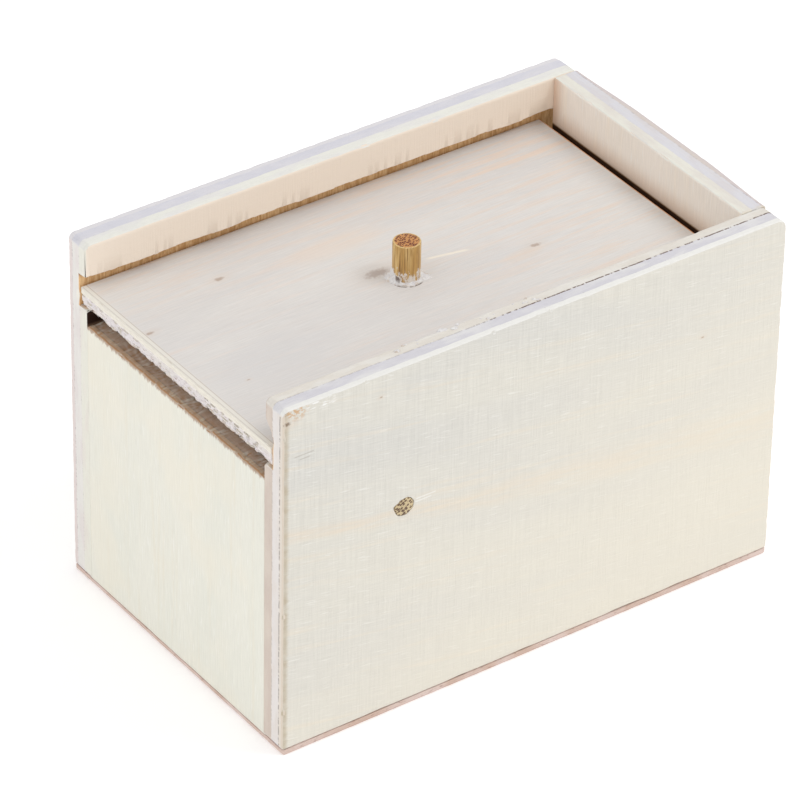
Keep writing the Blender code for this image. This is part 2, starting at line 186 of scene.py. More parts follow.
def prism(outline, axis, low, high):
    """Extrude an outline along an axis; the outline's two values run along the other two axes."""
    mesh_data = bmesh.new()

    def place(point, depth):
        values = list(point)
        values.insert(axis, depth)
        return Vector(values)

    base = mesh_data.faces.new([mesh_data.verts.new(place(p, low)) for p in outline])
    grown = bmesh.ops.extrude_face_region(mesh_data, geom=[base])["geom"]
    risen = [g for g in grown if isinstance(g, bmesh.types.BMVert)]
    bmesh.ops.translate(mesh_data, vec=place((0, 0), high - low), verts=risen)
    bmesh.ops.recalc_face_normals(mesh_data, faces=mesh_data.faces)
    return mesh_data


def block(low, high):
    outline = [(low[0], low[1]), (high[0], low[1]), (high[0], high[1]), (low[0], high[1])]
    return prism(outline, 2, low[2], high[2])


def rod(start, end, radius, sides=48):
    start, end = Vector(start), Vector(end)
    along = end - start
    mesh_data = bmesh.new()
    turn = along.to_track_quat("Z", "Y").to_matrix().to_4x4()
    bmesh.ops.create_cone(
        mesh_data, cap_ends=True, segments=sides, radius1=radius, radius2=radius, depth=along.length,
        matrix=Matrix.Translation((start + end) / 2) @ turn,
    )
    return mesh_data


def round_arrises(mesh_data, radius, segments=3, where=None, angle=50):
    edges = [
        edge for edge in mesh_data.edges
        if edge.calc_face_angle(0) > math.radians(angle) and (where is None or where(edge))
    ]
    bmesh.ops.bevel(mesh_data, geom=edges, offset=radius, segments=segments, profile=0.5, affect="EDGES")


def temporary(mesh_data):
    """A throwaway object that takes over a bmesh, to hold modifiers."""
    return add_object("temporary", as_mesh("temporary", mesh_data))


def with_modifiers(made, others=()):
    """What a temporary object's modifiers make of it, as a bmesh. Removes it and the others."""
    graph = bpy.context.evaluated_depsgraph_get()
    result = bmesh.new()
    result.from_mesh(made.evaluated_get(graph).to_mesh())
    for item in [made, *others]:
        bpy.data.objects.remove(item, do_unlink=True)
    return result


def subtract(mesh_data, cutters):
    """Boolean difference with the EXACT solver."""
    piece = temporary(mesh_data)
    tools = [temporary(cutter) for cutter in cutters]
    for tool in tools:
        cut = piece.modifiers.new("cut", "BOOLEAN")
        cut.operation = "DIFFERENCE"
        cut.solver = "EXACT"
        cut.object = tool
    return with_modifiers(piece, tools)


def dice(mesh_data, axis, places, near=None):
    """Split faces along planes square to an axis; near limits it to faces whose middle it accepts."""
    faces = [f for f in mesh_data.faces if near is None or near(f.calc_center_median())]
    geometry = set(faces)
    for face in faces:
        geometry.update(face.verts)
        geometry.update(face.edges)
    geometry = list(geometry)
    normal = Vector((0, 0, 0))
    normal[axis] = 1
    for place in places:
        geometry = bmesh.ops.bisect_plane(
            mesh_data, geom=geometry, plane_co=normal * place, plane_no=normal, dist=1e-4)["geom"]


def steps(low, high, spacing, clear_of=()):
    """Evenly spaced places between two ends, leaving out any that is close to a line given."""
    count = max(1, round((high - low) / spacing))
    places = [low + (high - low) * k / count for k in range(1, count)]
    return [place for place in places if all(abs(place - line) > 0.12 for line in clear_of)]


def reshape(mesh_data, change):
    """Move every vertex to change(place, normal)."""
    mesh_data.normal_update()
    moved = [(vert, change(vert.co.copy(), vert.normal.copy())) for vert in mesh_data.verts]
    for vert, place in moved:
        vert.co = place


def arris(normal):
    """1 where a surface faces between two axes, 0 where it is square to one."""
    flattest = max(abs(part) for part in normal)
    return min(1.0, (1 - flattest) / (1 - math.sqrt(0.5)))


def worn(place, normal, amount=1.0):
    """Sanded and nicked arrises: the place moves in along its normal."""
    edge = arris(normal)
    if edge <= 0:
        return place
    nick = max(0.0, wave(*(place * 0.55)) - 0.15) * 0.5 + humps(*(place * 2.1)) * 0.16
    return place - normal * edge * amount * (0.03 + nick)


def skin_between(mesh_data, one, two):
    """Faces between two closed rings of as many points."""
    count = len(one)
    for j in range(count):
        after = (j + 1) % count
        mesh_data.faces.new((one[j], one[after], two[after], two[j]))


def tube(path, radius_at, sides=12):
    """Closed round wire along a path; radius_at takes the share of the way along it."""
    mesh_data = bmesh.new()
    last = len(path) - 1
    normal = (path[1] - path[0]).orthogonal().normalized()
    rings = []
    for k, point in enumerate(path):
        direction = (path[min(last, k + 1)] - path[max(0, k - 1)]).normalized()
        normal = (normal - direction * normal.dot(direction)).normalized()
        across = direction.cross(normal)
        radius = radius_at(k / last)
        rings.append([
            mesh_data.verts.new(point + radius * (normal * math.cos(a) + across * math.sin(a)))
            for a in (2 * math.pi * j / sides for j in range(sides))
        ])
    for one, two in zip(rings, rings[1:]):
        skin_between(mesh_data, one, two)
    mesh_data.faces.new(list(reversed(rings[0])))
    mesh_data.faces.new(rings[-1])
    return mesh_data


def merge(target, source):
    """Copy one bmesh into another and free it."""
    mesh = as_mesh("part", source)
    target.from_mesh(mesh)
    bpy.data.meshes.remove(mesh)


# ---------------------------------------------------------------- material helpers

def rgb(red, green, blue):
    """Screen colour, 0 to 255, as the renderer's linear colour."""
    def linear(value):
        value /= 255
        return value / 12.92 if value <= 0.04045 else ((value + 0.055) / 1.055) ** 2.4
    return (linear(red), linear(green), linear(blue), 1.0)


class Graph:
    """A material's nodes written as nested calls. Inputs are sockets, numbers or colours."""

    def __init__(self, name):
        self.material = bpy.data.materials.new(name)
        self.material.use_nodes = True
        self.tree = self.material.node_tree
        self.tree.nodes.clear()
        source = self.node("TexCoord")
        millimetres = self.node("VectorMath", operation="SCALE")
        self.tree.links.new(source.outputs["Object"], millimetres.inputs[0])
        millimetres.inputs["Scale"].default_value = 1 / MM
        self.place = millimetres.outputs[0]
        self.x, self.y, self.z = self.split(self.place)
        self.normal = self.split(source.outputs["Normal"])

    def node(self, kind, **settings):
        made = self.tree.nodes.new("ShaderNode" + kind)
        for key, value in settings.items():
            setattr(made, key, value)
        return made

    def plug(self, socket, value):
        if isinstance(value, bpy.types.NodeSocket):
            self.tree.links.new(value, socket)
        else:
            socket.default_value = value

    def split(self, vector):
        made = self.node("SeparateXYZ")
        self.plug(made.inputs[0], vector)
        return tuple(made.outputs)

    def vector(self, *parts):
        made = self.node("CombineXYZ")
        for socket, part in zip(made.inputs, parts):
            self.plug(socket, part)
        return made.outputs[0]

    def math(self, operation, *values, clamp=False):
        made = self.node("Math", operation=operation, use_clamp=clamp)
        for socket, value in zip(made.inputs, values):
            self.plug(socket, value)
        return made.outputs[0]

    def add(self, one, two):
        return self.math("ADD", one, two)

    def times(self, one, two):
        return self.math("MULTIPLY", one, two)

    def minus(self, one, two):
        return self.math("SUBTRACT", one, two)

    def centred(self, value, amount):
        """A 0 to 1 value as one that runs half of the amount to either side of 0."""
        return self.times(self.minus(value, 0.5), amount)

    def both(self, *masks):
        result = masks[0]
        for mask in masks[1:]:
            result = self.math("MULTIPLY", result, mask, clamp=True)
        return result

    def rise(self, value, low, high, start=0.0, end=1.0):
        """start below low, end above high, smooth between."""
        made = self.node("MapRange", interpolation_type="SMOOTHSTEP")
        for socket, part in zip(made.inputs, (value, low, high, start, end)):
            self.plug(socket, part)
        return made.outputs[0]

    def band(self, value, centre, half, soft):
        """1 within half of the centre, 0 beyond half + soft."""
        off = self.math("ABSOLUTE", self.minus(value, centre))
        return self.rise(off, half, half + soft, 1.0, 0.0)

    def length(self, one, two):
        return self.math("SQRT", self.add(self.times(one, one), self.times(two, two)))

    def noise(self, vector, scale=1.0, detail=2.0, roughness=0.5):
        made = self.node("TexNoise")
        self.plug(made.inputs["Vector"], vector)
        self.plug(made.inputs["Scale"], scale)
        self.plug(made.inputs["Detail"], detail)
        self.plug(made.inputs["Roughness"], roughness)
        return made.outputs["Fac"]

    def grain(self, *parts, **settings):
        """Noise at a place whose parts are numbers, or pairs of a coordinate and its scale."""
        return self.noise(self.vector(*(
            self.times(*part) if isinstance(part, tuple) else part for part in parts)), **settings)

    def cells(self, vector, scale, randomness=1.0):
        """Distance to the nearest cell centre."""
        made = self.node("TexVoronoi")
        self.plug(made.inputs["Vector"], vector)
        self.plug(made.inputs["Scale"], scale)
        self.plug(made.inputs["Randomness"], randomness)
        return made.outputs["Distance"]

    def mix(self, share, one, two, blend="MIX"):
        made = self.node("Mix", data_type="RGBA", blend_type=blend, clamp_factor=True)
        for index, value in ((0, share), (6, one), (7, two)):
            self.plug(made.inputs[index], value)
        return made.outputs[2]

    def paint(self, colour, tone, strength, *masks):
        """Lay a tone over a colour, at a strength, where every mask is 1."""
        return self.mix(self.times(self.both(*masks), strength), colour, tone)

    def shade(self, colour, value, amount):
        """Brighten and darken a colour with a 0 to 1 value whose middle leaves it alone."""
        gain = self.add(self.centred(value, 2 * amount), 1.0)
        made = self.node("VectorMath", operation="SCALE")
        self.plug(made.inputs[0], colour if isinstance(colour, bpy.types.NodeSocket) else colour[:3])
        self.plug(made.inputs["Scale"], gain)
        return made.outputs[0]

    def surface(self, colour, roughness, height=None, depth=0.05, specular=0.3, **extra):
        """Principled surface; height is in units of depth millimetres."""
        shader = self.node("BsdfPrincipled")
        self.plug(shader.inputs["Base Color"], colour)
        self.plug(shader.inputs["Roughness"], roughness)
        self.plug(shader.inputs["Specular IOR Level"], specular)
        for name, value in extra.items():
            self.plug(shader.inputs[name.replace("_", " ")], value)
        if height is not None:
            bump = self.node("Bump")
            bump.inputs["Strength"].default_value = 1.0
            bump.inputs["Distance"].default_value = depth * MM
            self.plug(bump.inputs["Height"], height)
            self.tree.links.new(bump.outputs[0], shader.inputs["Normal"])
        output = self.node("OutputMaterial")
        self.tree.links.new(shader.outputs[0], output.inputs[0])
        return self.material


# ---------------------------------------------------------------- wood

def face_ply(g, along, across, seed, tone, second, warm, saw=0.5, flecks=0.35):
    """Colour and height of a rotary-cut face ply: broad tone, streaks, fibres and saw marks."""
    def stretched(per_along, per_across, **settings):
        return g.grain((along, per_along), (across, per_across), seed, **settings)

    broad = stretched(0.018, 0.07, detail=3, roughness=0.55)
    streak = stretched(0.03, 0.55, detail=4, roughness=0.6)
    fibre = stretched(0.22, 5.0, detail=3, roughness=0.6)
    pale = g.rise(stretched(0.30, 3.2, detail=1), 0.63, 0.72)
    sawn = stretched(2.6, 0.10, detail=2, roughness=0.7)
    colour = g.mix(g.rise(broad, 0.38, 0.64), tone, second)
    colour = g.paint(colour, warm, 0.55, g.rise(streak, 0.52, 0.74))
    colour = g.shade(colour, fibre, 0.125)
    colour = g.shade(colour, sawn, 0.055 * saw)
    colour = g.paint(colour, rgb(248, 247, 243), flecks, pale)
    height = g.add(g.times(fibre, 0.6), g.add(g.times(sawn, 0.8 * saw), g.times(pale, 0.25)))
    return colour, height


def knot(g, colour, along, across, centre, size, dark, strength=1.0):
    """A small knot with a pale halo, drawn out along the grain."""
    away_along = g.times(g.minus(along, centre[0]), 0.5)
    away_across = g.minus(across, centre[1])
    away = g.add(g.length(away_along, away_across), g.centred(g.noise(g.place, 2.0), size * 0.9))
    halo = g.rise(away, size * 0.6, size * 3.0, 0.35 * strength, 0.0)
    core = g.rise(away, size * 0.25, size * 0.95, strength, 0.0)
    colour = g.mix(halo, colour, rgb(222, 204, 188))
    return g.mix(core, colour, dark)


def glue_line(g, depth, place, run, width, dashes):
    """Mask of a broken dark line at a ply joint; run is the coordinate along it."""
    wobble = g.centred(g.grain((run, 0.9), 3.1, 0.0, detail=3), 0.22)
    line = g.band(g.add(depth, wobble), place, width * 0.35, width * 0.75)
    broken = g.rise(g.grain((run, 1.3), 7.7, place, detail=5, roughness=0.8),
                    0.62 - 0.3 * dashes, 0.70 - 0.3 * dashes)
    return g.both(line, broken)


LINE_DARK = rgb(104, 80, 68)


def layered_edge(g, depth, run, colours, lines, seed, clear_from=None, torn=False):
    """A sawn edge: three plies side by side with glue lines between them, which stay faint
    up to clear_from. A torn edge is rough and full of dark nicks below its outer ply."""
    outer, core, inner = colours
    wobble = g.centred(g.grain((run, 0.5), seed, 0.0, detail=3), 0.35)
    inside = g.add(depth, wobble)
    colour = g.mix(g.rise(inside, OUTER_PLY - 0.08, OUTER_PLY + 0.08), outer, core)
    colour = g.mix(g.rise(inside, CORE_END - 0.08, CORE_END + 0.08), colour, inner)
    patch = g.grain((run, 0.16), (depth, 0.5), seed + 0.6, detail=3)
    colour = g.mix(g.rise(patch, 0.42, 0.66, 0.0, 0.45), colour, outer)
    fuzz = g.grain((run, 0.9), (depth, 5.0), seed, detail=4, roughness=0.7)
    colour = g.shade(colour, fuzz, 0.30 if torn else 0.09)
    if torn:
        nicks = g.grain((run, 0.9), (depth, 4.2), seed + 2.2, detail=4, roughness=0.75)
        below = g.rise(depth, OUTER_PLY, OUTER_PLY + 0.3)
        colour = g.mix(g.both(below, g.rise(nicks, 0.56, 0.64, 0.0, 0.8)), colour, rgb(146, 112, 96))
    for place, (strength, dashes) in zip((OUTER_PLY, CORE_END), lines):
        mask = glue_line(g, depth, place, run, 0.17, dashes)
        if clear_from is not None:
            mask = g.times(mask, g.rise(run, clear_from - 8.0, clear_from + 4.0, 0.25, 1.0))
        colour = g.paint(colour, LINE_DARK, strength, mask)
    return colour, fuzz


def plywood(name, grain, thick, outer, tones, end, flank, seed, saw=0.5, flecks=0.35,
            across=None, touch=None, grooved=False, clear_from=None, torn=False):
    """Three-ply board. end and flank are (ply colours, glue lines) for the edges square to the
    face grain and along it; touch(graph, colour, face mask) adds what one board alone has."""
    g = Graph(name)
    axes = (g.x, g.y, g.z)
    other = 3 - grain - thick
    depth = g.math("ABSOLUTE", g.minus(axes[thick], outer))
    sideways = axes[other] if across is None else across(g)
    colour, height = face_ply(g, axes[grain], sideways, seed, *tones, saw=saw, flecks=flecks)
    end_colour, end_fuzz = layered_edge(g, depth, axes[other], *end, seed + 1.5, torn=torn)
    flank_colour, flank_fuzz = layered_edge(g, depth, axes[grain], *flank, seed + 4.5, clear_from)
    facing = [g.math("ABSOLUTE", part) for part in g.normal]
    on_end = g.rise(g.minus(facing[grain], facing[thick]), -0.15, 0.25)
    on_flank = g.rise(g.minus(facing[other], facing[thick]), -0.15, 0.25)
    face_mask = g.minus(1.0, g.math("MAXIMUM", on_end, on_flank))
    if touch:
        colour = touch(g, colour, face_mask)
    if thick != 2:
        veneer = g.grain((axes[grain], 0.12), (axes[other], 2.2), seed, detail=5, roughness=0.7)
        colour = raw_inside(g, colour, g.both(face_mask, g.rise(depth, CORE_END, CORE_END + 0.3)), veneer)
    colour = g.mix(on_end, colour, end_colour)
    colour = g.mix(on_flank, colour, flank_colour)
    if grooved:
        colour = groove_wall(g, colour)
    if thick != 2:
        colour = stained_foot(g, colour)
    fuzz = g.add(g.times(on_end, end_fuzz), g.times(on_flank, flank_fuzz))
    height = g.add(g.times(height, face_mask), g.times(fuzz, 1.6))
    roughness = g.rise(g.noise(g.place, 1.4, 3), 0.3, 0.7, 0.62, 0.80)
    return g.surface(colour, roughness, height, depth=0.05, specular=0.22)


def stained_foot(g, colour):
    """Patches of red-brown glue where the walls stand on the bottom sheet, most at the front."""
    blot = g.grain((g.x, 0.5), (g.y, 0.5), 3.0, detail=4, roughness=0.7)
    low = g.rise(g.add(g.z, g.centred(blot, 0.8)), WALL_LOW, WALL_LOW + 0.30, 1.0, 0.0)
    amount = g.times(g.rise(blot, 0.40, 0.60), g.rise(g.x, -15.0, 5.0, 0.9, 0.35))
    return g.mix(g.times(low, amount), colour, rgb(134, 92, 78))


def groove_wall(g, colour):
    """Raw wood inside the lid's groove, ribbed by the cutter, with painted shade darkening its top under
    the lip.
    """
    level = g.band(g.z, (GROOVE_LOW + GROOVE_HIGH) / 2, (GROOVE_HIGH - GROOVE_LOW) / 2 - 0.02, 0.06)
    deep = g.rise(g.math("ABSOLUTE", g.y), INNER_HALF_W + 0.35, INNER_HALF_W + 0.7)
    inside = g.rise(g.math("ABSOLUTE", g.y), GROOVE_HALF_W + 0.1, GROOVE_HALF_W + 0.3, 1.0, 0.0)
    ribs = g.grain((g.x, 2.4), (g.z, 0.3), 5.0, detail=4, roughness=0.7)
    raw = g.shade(g.mix(g.rise(ribs, 0.35, 0.65), rgb(212, 164, 112), rgb(240, 202, 152)), ribs, 0.15)
    # painted shade: the wall darkens towards its top, under the lip
    raw = g.mix(g.rise(g.z, GROOVE_HIGH - 0.75, GROOVE_HIGH - 0.1, 0.0, 0.75), raw, rgb(136, 84, 46))
    return g.mix(g.both(level, deep, inside), colour, raw)


def raw_inside(g, colour, face, veneer):
    """Inside faces are bare veneer, with painted shade just under the lid, a painted shadow in the gap
    behind it and painted darkness at the front mouth.
    """
    behind = g.math("MAXIMUM", g.rise(g.x, -HALF_L + 0.6, -HALF_L + 1.2),
                    g.rise(g.z, FRONT_TOP - 0.4, FRONT_TOP))
    face = g.both(face, behind)
    bare = g.mix(g.noise(g.place, 0.25, 3), rgb(214, 184, 150), rgb(200, 166, 130))
    bare = g.shade(bare, veneer, 0.40)
    below = g.rise(g.z, LID_HIGH.z - 0.6, LID_HIGH.z - 0.1, 1.0, 0.0)
    colour = g.paint(colour, bare, 0.8, below, face)
    # painted shade: dark brown on the inside walls for the last few millimetres under the lid
    under = g.rise(g.z, GROOVE_LOW - 9.0, GROOVE_LOW - 1.0)
    colour = g.paint(colour, g.shade(rgb(120, 78, 46), veneer, 0.40), 0.75, below, under, face)
    # painted shadow: a dark band on the back wall's inner face, in the gap behind the lid
    slot = g.both(g.rise(g.x, BACK_FACE_X - 0.3, BACK_FACE_X - 0.1),
                  g.band(g.z, LID_HIGH.z - 1.05, 0.35, 0.35), face)
    colour = g.mix(slot, colour, rgb(64, 40, 25))
    # painted shadow: near-black on the inner faces seen through the gap over the front wall
    mouth_shadow = g.both(g.rise(g.x, FRONT_FACE_X - 2.0, FRONT_FACE_X + 0.5, 1.0, 0.0),
                   g.rise(g.z, FRONT_TOP - 0.5, FRONT_TOP + 0.5), below, face)
    return g.mix(mouth_shadow, colour, rgb(44, 24, 14))


def in_turn(*marks):
    """A board's touch that lays several marks over its colour, one after another."""
    def touch(g, colour, face):
        for mark in marks:
            colour = mark(g, colour, face)
        return colour
    return touch


def near_grain(g):
    """Height across the near side's grain, which sinks towards the back as its band does."""
    sink = g.add(g.times(g.x, -0.150), g.times(g.math("POWER", g.x, 2.0), 0.0004))
    return g.minus(g.z, sink)


def tan_band(g, colour, face):
    """A broken tan band along the grain, and warmer wood towards the low rear corner."""
    level = near_grain(g)
    drift = g.centred(g.grain((g.x, 0.06), 2.0, 1.0, detail=3), 5.0)
    width = g.rise(g.x, -HALF_L, HALF_L, 1.0, 2.6)
    away = g.math("DIVIDE", g.math("ABSOLUTE", g.minus(g.add(level, drift), PIN.z - 5.2)), width)
    broken = g.grain((g.x, 0.10), (level, 0.9), 9.0, detail=3)
    band = g.both(g.rise(away, 0.1, 1.9, 1.0, 0.0), g.rise(broken, 0.28, 0.62), face)
    colour = g.paint(colour, rgb(232, 215, 193), 0.5, band)
    warm = g.rise(g.minus(g.times(g.x, 0.55), g.z), -80.0, 20.0)
    return g.paint(colour, rgb(237, 230, 214), 0.65, warm, face)


def marked_corner(g, colour, face):
    """An orange stain and pale chips at the top front corner."""
    crumbly = g.grain((g.x, 1.3), 2.0, (g.z, 1.9), scale=1.1, detail=4, roughness=0.7)
    corner = g.both(g.rise(g.x, -41.5, -44.0), g.rise(g.z, HEIGHT - 2.6, HEIGHT - 1.0))
    stain = g.both(corner, g.rise(crumbly, 0.47, 0.56), face)
    colour = g.paint(colour, rgb(206, 158, 104), 0.75, stain)
    chipped = g.grain((g.x, 0.6), 8.0, (g.z, 3.0), detail=3)
    chips = g.both(g.band(g.x, -40.0, 2.0, 1.0), g.rise(g.z, HEIGHT - 1.8, HEIGHT - 1.2))
    return g.mix(g.both(chips, g.rise(chipped, 0.52, 0.60), face), colour, rgb(244, 243, 240))


def scratches(g, colour, face):
    """Level scratches: two grey ones by the front end, two white ones behind the pin."""
    grey, white = rgb(176, 168, 158), rgb(248, 248, 246)
    for level, start, finish, tone in ((54.4, -44.5, -41.4, grey), (53.7, -43.6, -42.0, grey),
                                       (PIN.z + 0.6, PIN.x + 2.3, PIN.x + 5.6, white),
                                       (PIN.z + 0.1, PIN.x + 2.2, PIN.x + 4.8, white)):
        scratch = g.both(g.band(g.z, level, 0.04, 0.12),
                         g.band(g.x, (start + finish) / 2, (finish - start) / 2, 0.3), face)
        colour = g.paint(colour, tone, 0.5, scratch)
    return colour


def tan_front_arris(g, colour, face):
    """A frayed, patchy tan band on the outer ply along the front arris."""
    arris_patches = g.grain(1.0, 4.0, (g.z, 0.30), detail=5, roughness=0.7)
    frayed = g.centred(g.grain(6.0, 1.0, (g.z, 1.4), detail=4), 0.9)
    edge = g.rise(g.add(g.x, frayed), -HALF_L + 0.35, -HALF_L + 1.15, 1.0, 0.0)
    patch_share = g.rise(arris_patches, 0.30, 0.70, 0.35, 0.95)
    return g.mix(g.both(edge, patch_share, face), colour, rgb(190, 176, 152))


def near_knots(g, colour, face):
    colour = knot(g, colour, g.x, g.z, (-HALF_L + 0.35, 60.8), 0.55, rgb(122, 100, 78), 0.8)
    for place, size in (((-29.3, 59.2), 0.22), ((31.0, 47.0), 0.2)):
        colour = knot(g, colour, g.x, g.z, place, size, rgb(176, 150, 122), 0.7)
    return colour


def near_side_wood():
    return plywood(
        "near_side_wood", 0, 1, -HALF_W,
        (rgb(216, 214, 208), rgb(221, 218, 209), rgb(229, 219, 203)),
        ((rgb(222, 209, 194), rgb(234, 227, 221), rgb(202, 183, 171)), ((0.9, 0.6), (0.35, 0.4))),
        ((rgb(238, 237, 233), rgb(214, 212, 218), rgb(226, 220, 211)), ((0.15, 0.2), (0.95, 0.6))),
        seed=1.0, saw=1.9, across=near_grain, grooved=True, clear_from=-6.0,
        touch=in_turn(tan_band, marked_corner, scratches, tan_front_arris, near_knots))


def far_side_wood():
    def touch(g, colour, face):
        """The inside of the lip over the lid is a warm, peachy tan."""
        lip = g.both(g.rise(g.z, GROOVE_HIGH - 1.0, GROOVE_HIGH - 0.5), g.rise(g.y, 26.0, 26.5, 1.0, 0.0))
        return g.paint(colour, rgb(247, 231, 214), 0.85, lip, face)

    return plywood(
        "far_side_wood", 0, 1, HALF_W,
        (rgb(229, 226, 218), rgb(235, 231, 221), rgb(240, 228, 210)),
        ((rgb(226, 211, 205), rgb(238, 234, 224), rgb(232, 230, 216)), ((0.35, 0.4), (0.2, 0.3))),
        ((rgb(226, 223, 226), rgb(216, 215, 223), rgb(236, 235, 227)), ((0.10, 0.2), (0.1, 0.2))),
        seed=5.0, saw=1.0, touch=touch, grooved=True)


def front_wood():
    def touch(g, colour, face):
        warm = g.rise(g.noise(g.place, 0.07, 2), 0.45, 0.65)
        colour = g.paint(colour, rgb(240, 232, 214), 0.35, warm, face)
        frayed = g.times(g.grain(3.0, (g.y, 1.6), (g.z, 0.4), detail=4, roughness=0.7), 2.2)
        fringe = g.rise(g.add(g.z, frayed), FRONT_TOP + 0.35, FRONT_TOP + 1.0)
        return g.paint(colour, rgb(166, 132, 106), 0.75, fringe, face)

    return plywood(
        "front_wood", 2, 0, -HALF_L,
        (rgb(229, 228, 217), rgb(232, 230, 219), rgb(228, 222, 205)),
        # end-grain plies: end-grain browns, darkened further as painted shade for the top edge under the
        # lid
        ((rgb(188, 146, 110), rgb(172, 132, 102), rgb(156, 112, 84)), ((0.6, 0.7), (1.0, 1.0))),
        ((rgb(226, 218, 200), rgb(216, 206, 200), rgb(226, 214, 200)), ((0.4, 0.4), (0.3, 0.4))),
        seed=9.0, saw=0.25, touch=touch)


def back_wood():
    def touch(g, colour, face):
        """Painted shade on the inner face, deepening down to the slot behind the lid and into the far
        corner.
        """
        inner = g.both(g.rise(g.x, BACK_FACE_X + 0.3, BACK_FACE_X + 0.6, 1.0, 0.0), face)
        low = g.rise(g.z, LID_HIGH.z - 0.3, LID_HIGH.z + 4.0, 0.40, 0.0)
        corner = g.rise(g.y, INNER_HALF_W - 3.5, INNER_HALF_W, 0.0, 0.6)
        return g.mix(g.times(inner, g.math("MAXIMUM", low, corner)), colour, rgb(204, 160, 124))

    return plywood(
        "back_wood", 2, 0, HALF_L,
        (rgb(243, 234, 224), rgb(240, 231, 220), rgb(246, 233, 216)),
        ((rgb(213, 203, 202), rgb(220, 219, 227), rgb(234, 233, 224)), ((0.25, 0.4), (0.12, 0.3))),
        ((rgb(224, 214, 200), rgb(224, 222, 222), rgb(232, 226, 214)), ((0.4, 0.4), (0.3, 0.4))),
        seed=13.0, saw=0.3, touch=touch)


def lid_patches(g, colour, face):
    """Peachy streaks towards the far rear corner, and three soft patches."""
    streaks = g.grain((g.x, 0.05), (g.y, 0.75), 21.0, detail=4, roughness=0.6)
    where = g.add(g.rise(g.x, -20.0, 38.0, 0.05, 0.45), g.rise(g.y, 8.0, 24.0, 0.0, 0.3))
    colour = g.mix(g.both(g.rise(streaks, 0.46, 0.66), where), colour, rgb(234, 211, 192))
    for centre, spread, strength, tone in (((-8.0, 13.5), (9.0, 2.6), 0.35, rgb(236, 216, 198)),
                                           ((14.5, -4.6), (4.0, 1.3), 0.25, rgb(236, 208, 182)),
                                           ((-33.0, -7.0), (11.0, 6.0), 0.30, rgb(214, 212, 212))):
        away = g.add(g.math("POWER", g.times(g.minus(g.x, centre[0]), 1 / spread[0]), 2.0),
                     g.math("POWER", g.times(g.minus(g.y, centre[1]), 1 / spread[1]), 2.0))
        colour = g.mix(g.both(g.rise(away, 0.1, 1.6, strength, 0.0), face), colour, tone)
    return colour


def shade_and_streak_by_peg(g, colour, face):
    """A painted shadow to the peg's left, painted shade in the crevice at the near front edge of the
    glue, and a pale streak behind the peg.
    """
    shadow_spot = (PEG.x - 3.1, PEG.y + 3.3)
    # painted shadow cast by the peg, drawn with a knot's shape
    colour = knot(g, colour, g.x, g.y, shadow_spot, 1.5, rgb(158, 132, 116), 0.5)
    across, along = g.minus(g.x, PEG.x), g.minus(g.y, PEG.y)
    out = g.length(across, along)
    ahead = g.math("DIVIDE", g.minus(g.times(across, -0.6), g.times(along, 0.8)), out)
    gap = g.rise(g.grain((across, 1.1), (along, 1.1), 5.0, detail=2), 0.40, 0.48)
    # painted shade in the crevice at the glue's front edge
    crevice_shade = g.both(g.band(out, PEG_R + 0.62, 0.05, 0.14), g.rise(ahead, 0.35, 0.60), gap, face)
    colour = g.paint(colour, rgb(112, 96, 84), 0.85, crevice_shade)
    streak = g.band(g.add(g.y, g.times(g.x, 0.212)), 2.96, 0.03, 0.45)
    streak = g.both(streak, g.band(g.x, 5.0, 2.6, 1.4), face)
    return g.paint(colour, rgb(250, 240, 222), 0.7, streak)


def rear_rim_highlight(g, colour, face):
    # painted highlight: a lit orange rim along the lid's rear arris
    rear = g.both(g.rise(g.x, LID_HIGH.x - 0.40, LID_HIGH.x - 0.15), face)
    return g.paint(colour, rgb(222, 152, 86), 0.9, rear)


def lid_knots(g, colour, face):
    for place, size in (((-27.9, 15.7), 0.6), ((-44.7, 9.2), 0.5), ((17.7, -3.5), 0.65),
                        ((-39.3, -9.2), 0.2)):
        colour = knot(g, colour, g.x, g.y, place, size, rgb(172, 146, 128), 0.65)
    return colour


def sawn_front(g, colour, face):
    """The lid's frayed front end: a cream border with two fine lines along it."""
    frayed = g.centred(g.grain(2.0, (g.y, 1.2), 0.0, detail=4), 0.5)
    from_front = g.add(g.add(g.x, HALF_L), frayed)
    front = g.rise(from_front, 0.75, 1.25, 1.0, 0.0)
    colour = g.paint(colour, rgb(236, 231, 220), 0.7, front, face)
    for place, strength in ((0.22, 0.35), (0.95, 0.5)):
        line = g.band(g.add(g.x, HALF_L), place, 0.03, 0.10)
        colour = g.mix(g.both(g.times(line, strength), face), colour, rgb(176, 162, 150))
    return colour


def lid_wood():
    tones = (rgb(219, 215, 212), rgb(224, 220, 216), rgb(229, 215, 205))
    ends = (rgb(238, 233, 220), rgb(229, 222, 223), rgb(222, 208, 200))
    sides = (rgb(224, 214, 204), rgb(222, 218, 218), rgb(222, 210, 198))
    return plywood("lid_wood", 0, 2, LID_HIGH.z, tones, (ends, ((0.25, 0.3), (0.45, 0.4))),
                   (sides, ((0.3, 0.4), (0.3, 0.4))), seed=17.0, saw=0.25, flecks=0.10, torn=True,
                   touch=in_turn(lid_patches, shade_and_streak_by_peg, rear_rim_highlight, lid_knots, sawn_front))


def sheet_wood():
    """Thin pink-brown sheet under the walls, with a dark glue line at its top edge."""
    g = Graph("bottom_sheet_wood")
    fibre = g.grain((g.x, 0.3), (g.y, 3.0), (g.z, 4.0), detail=4, roughness=0.65)
    broad = g.grain((g.x, 0.15), (g.y, 0.15), 2.0, detail=3)
    colour = g.mix(g.rise(broad, 0.35, 0.65), rgb(222, 202, 194), rgb(208, 182, 168))
    colour = g.shade(colour, fibre, 0.12)
    dashes = g.grain((g.add(g.x, g.y), 0.7), (g.z, 2.5), 6.0, detail=4, roughness=0.75)
    colour = g.mix(g.rise(dashes, 0.56, 0.66, 0.0, 0.7), colour, rgb(150, 112, 98))
    return g.surface(colour, 0.8, fibre, depth=0.08, specular=0.2)


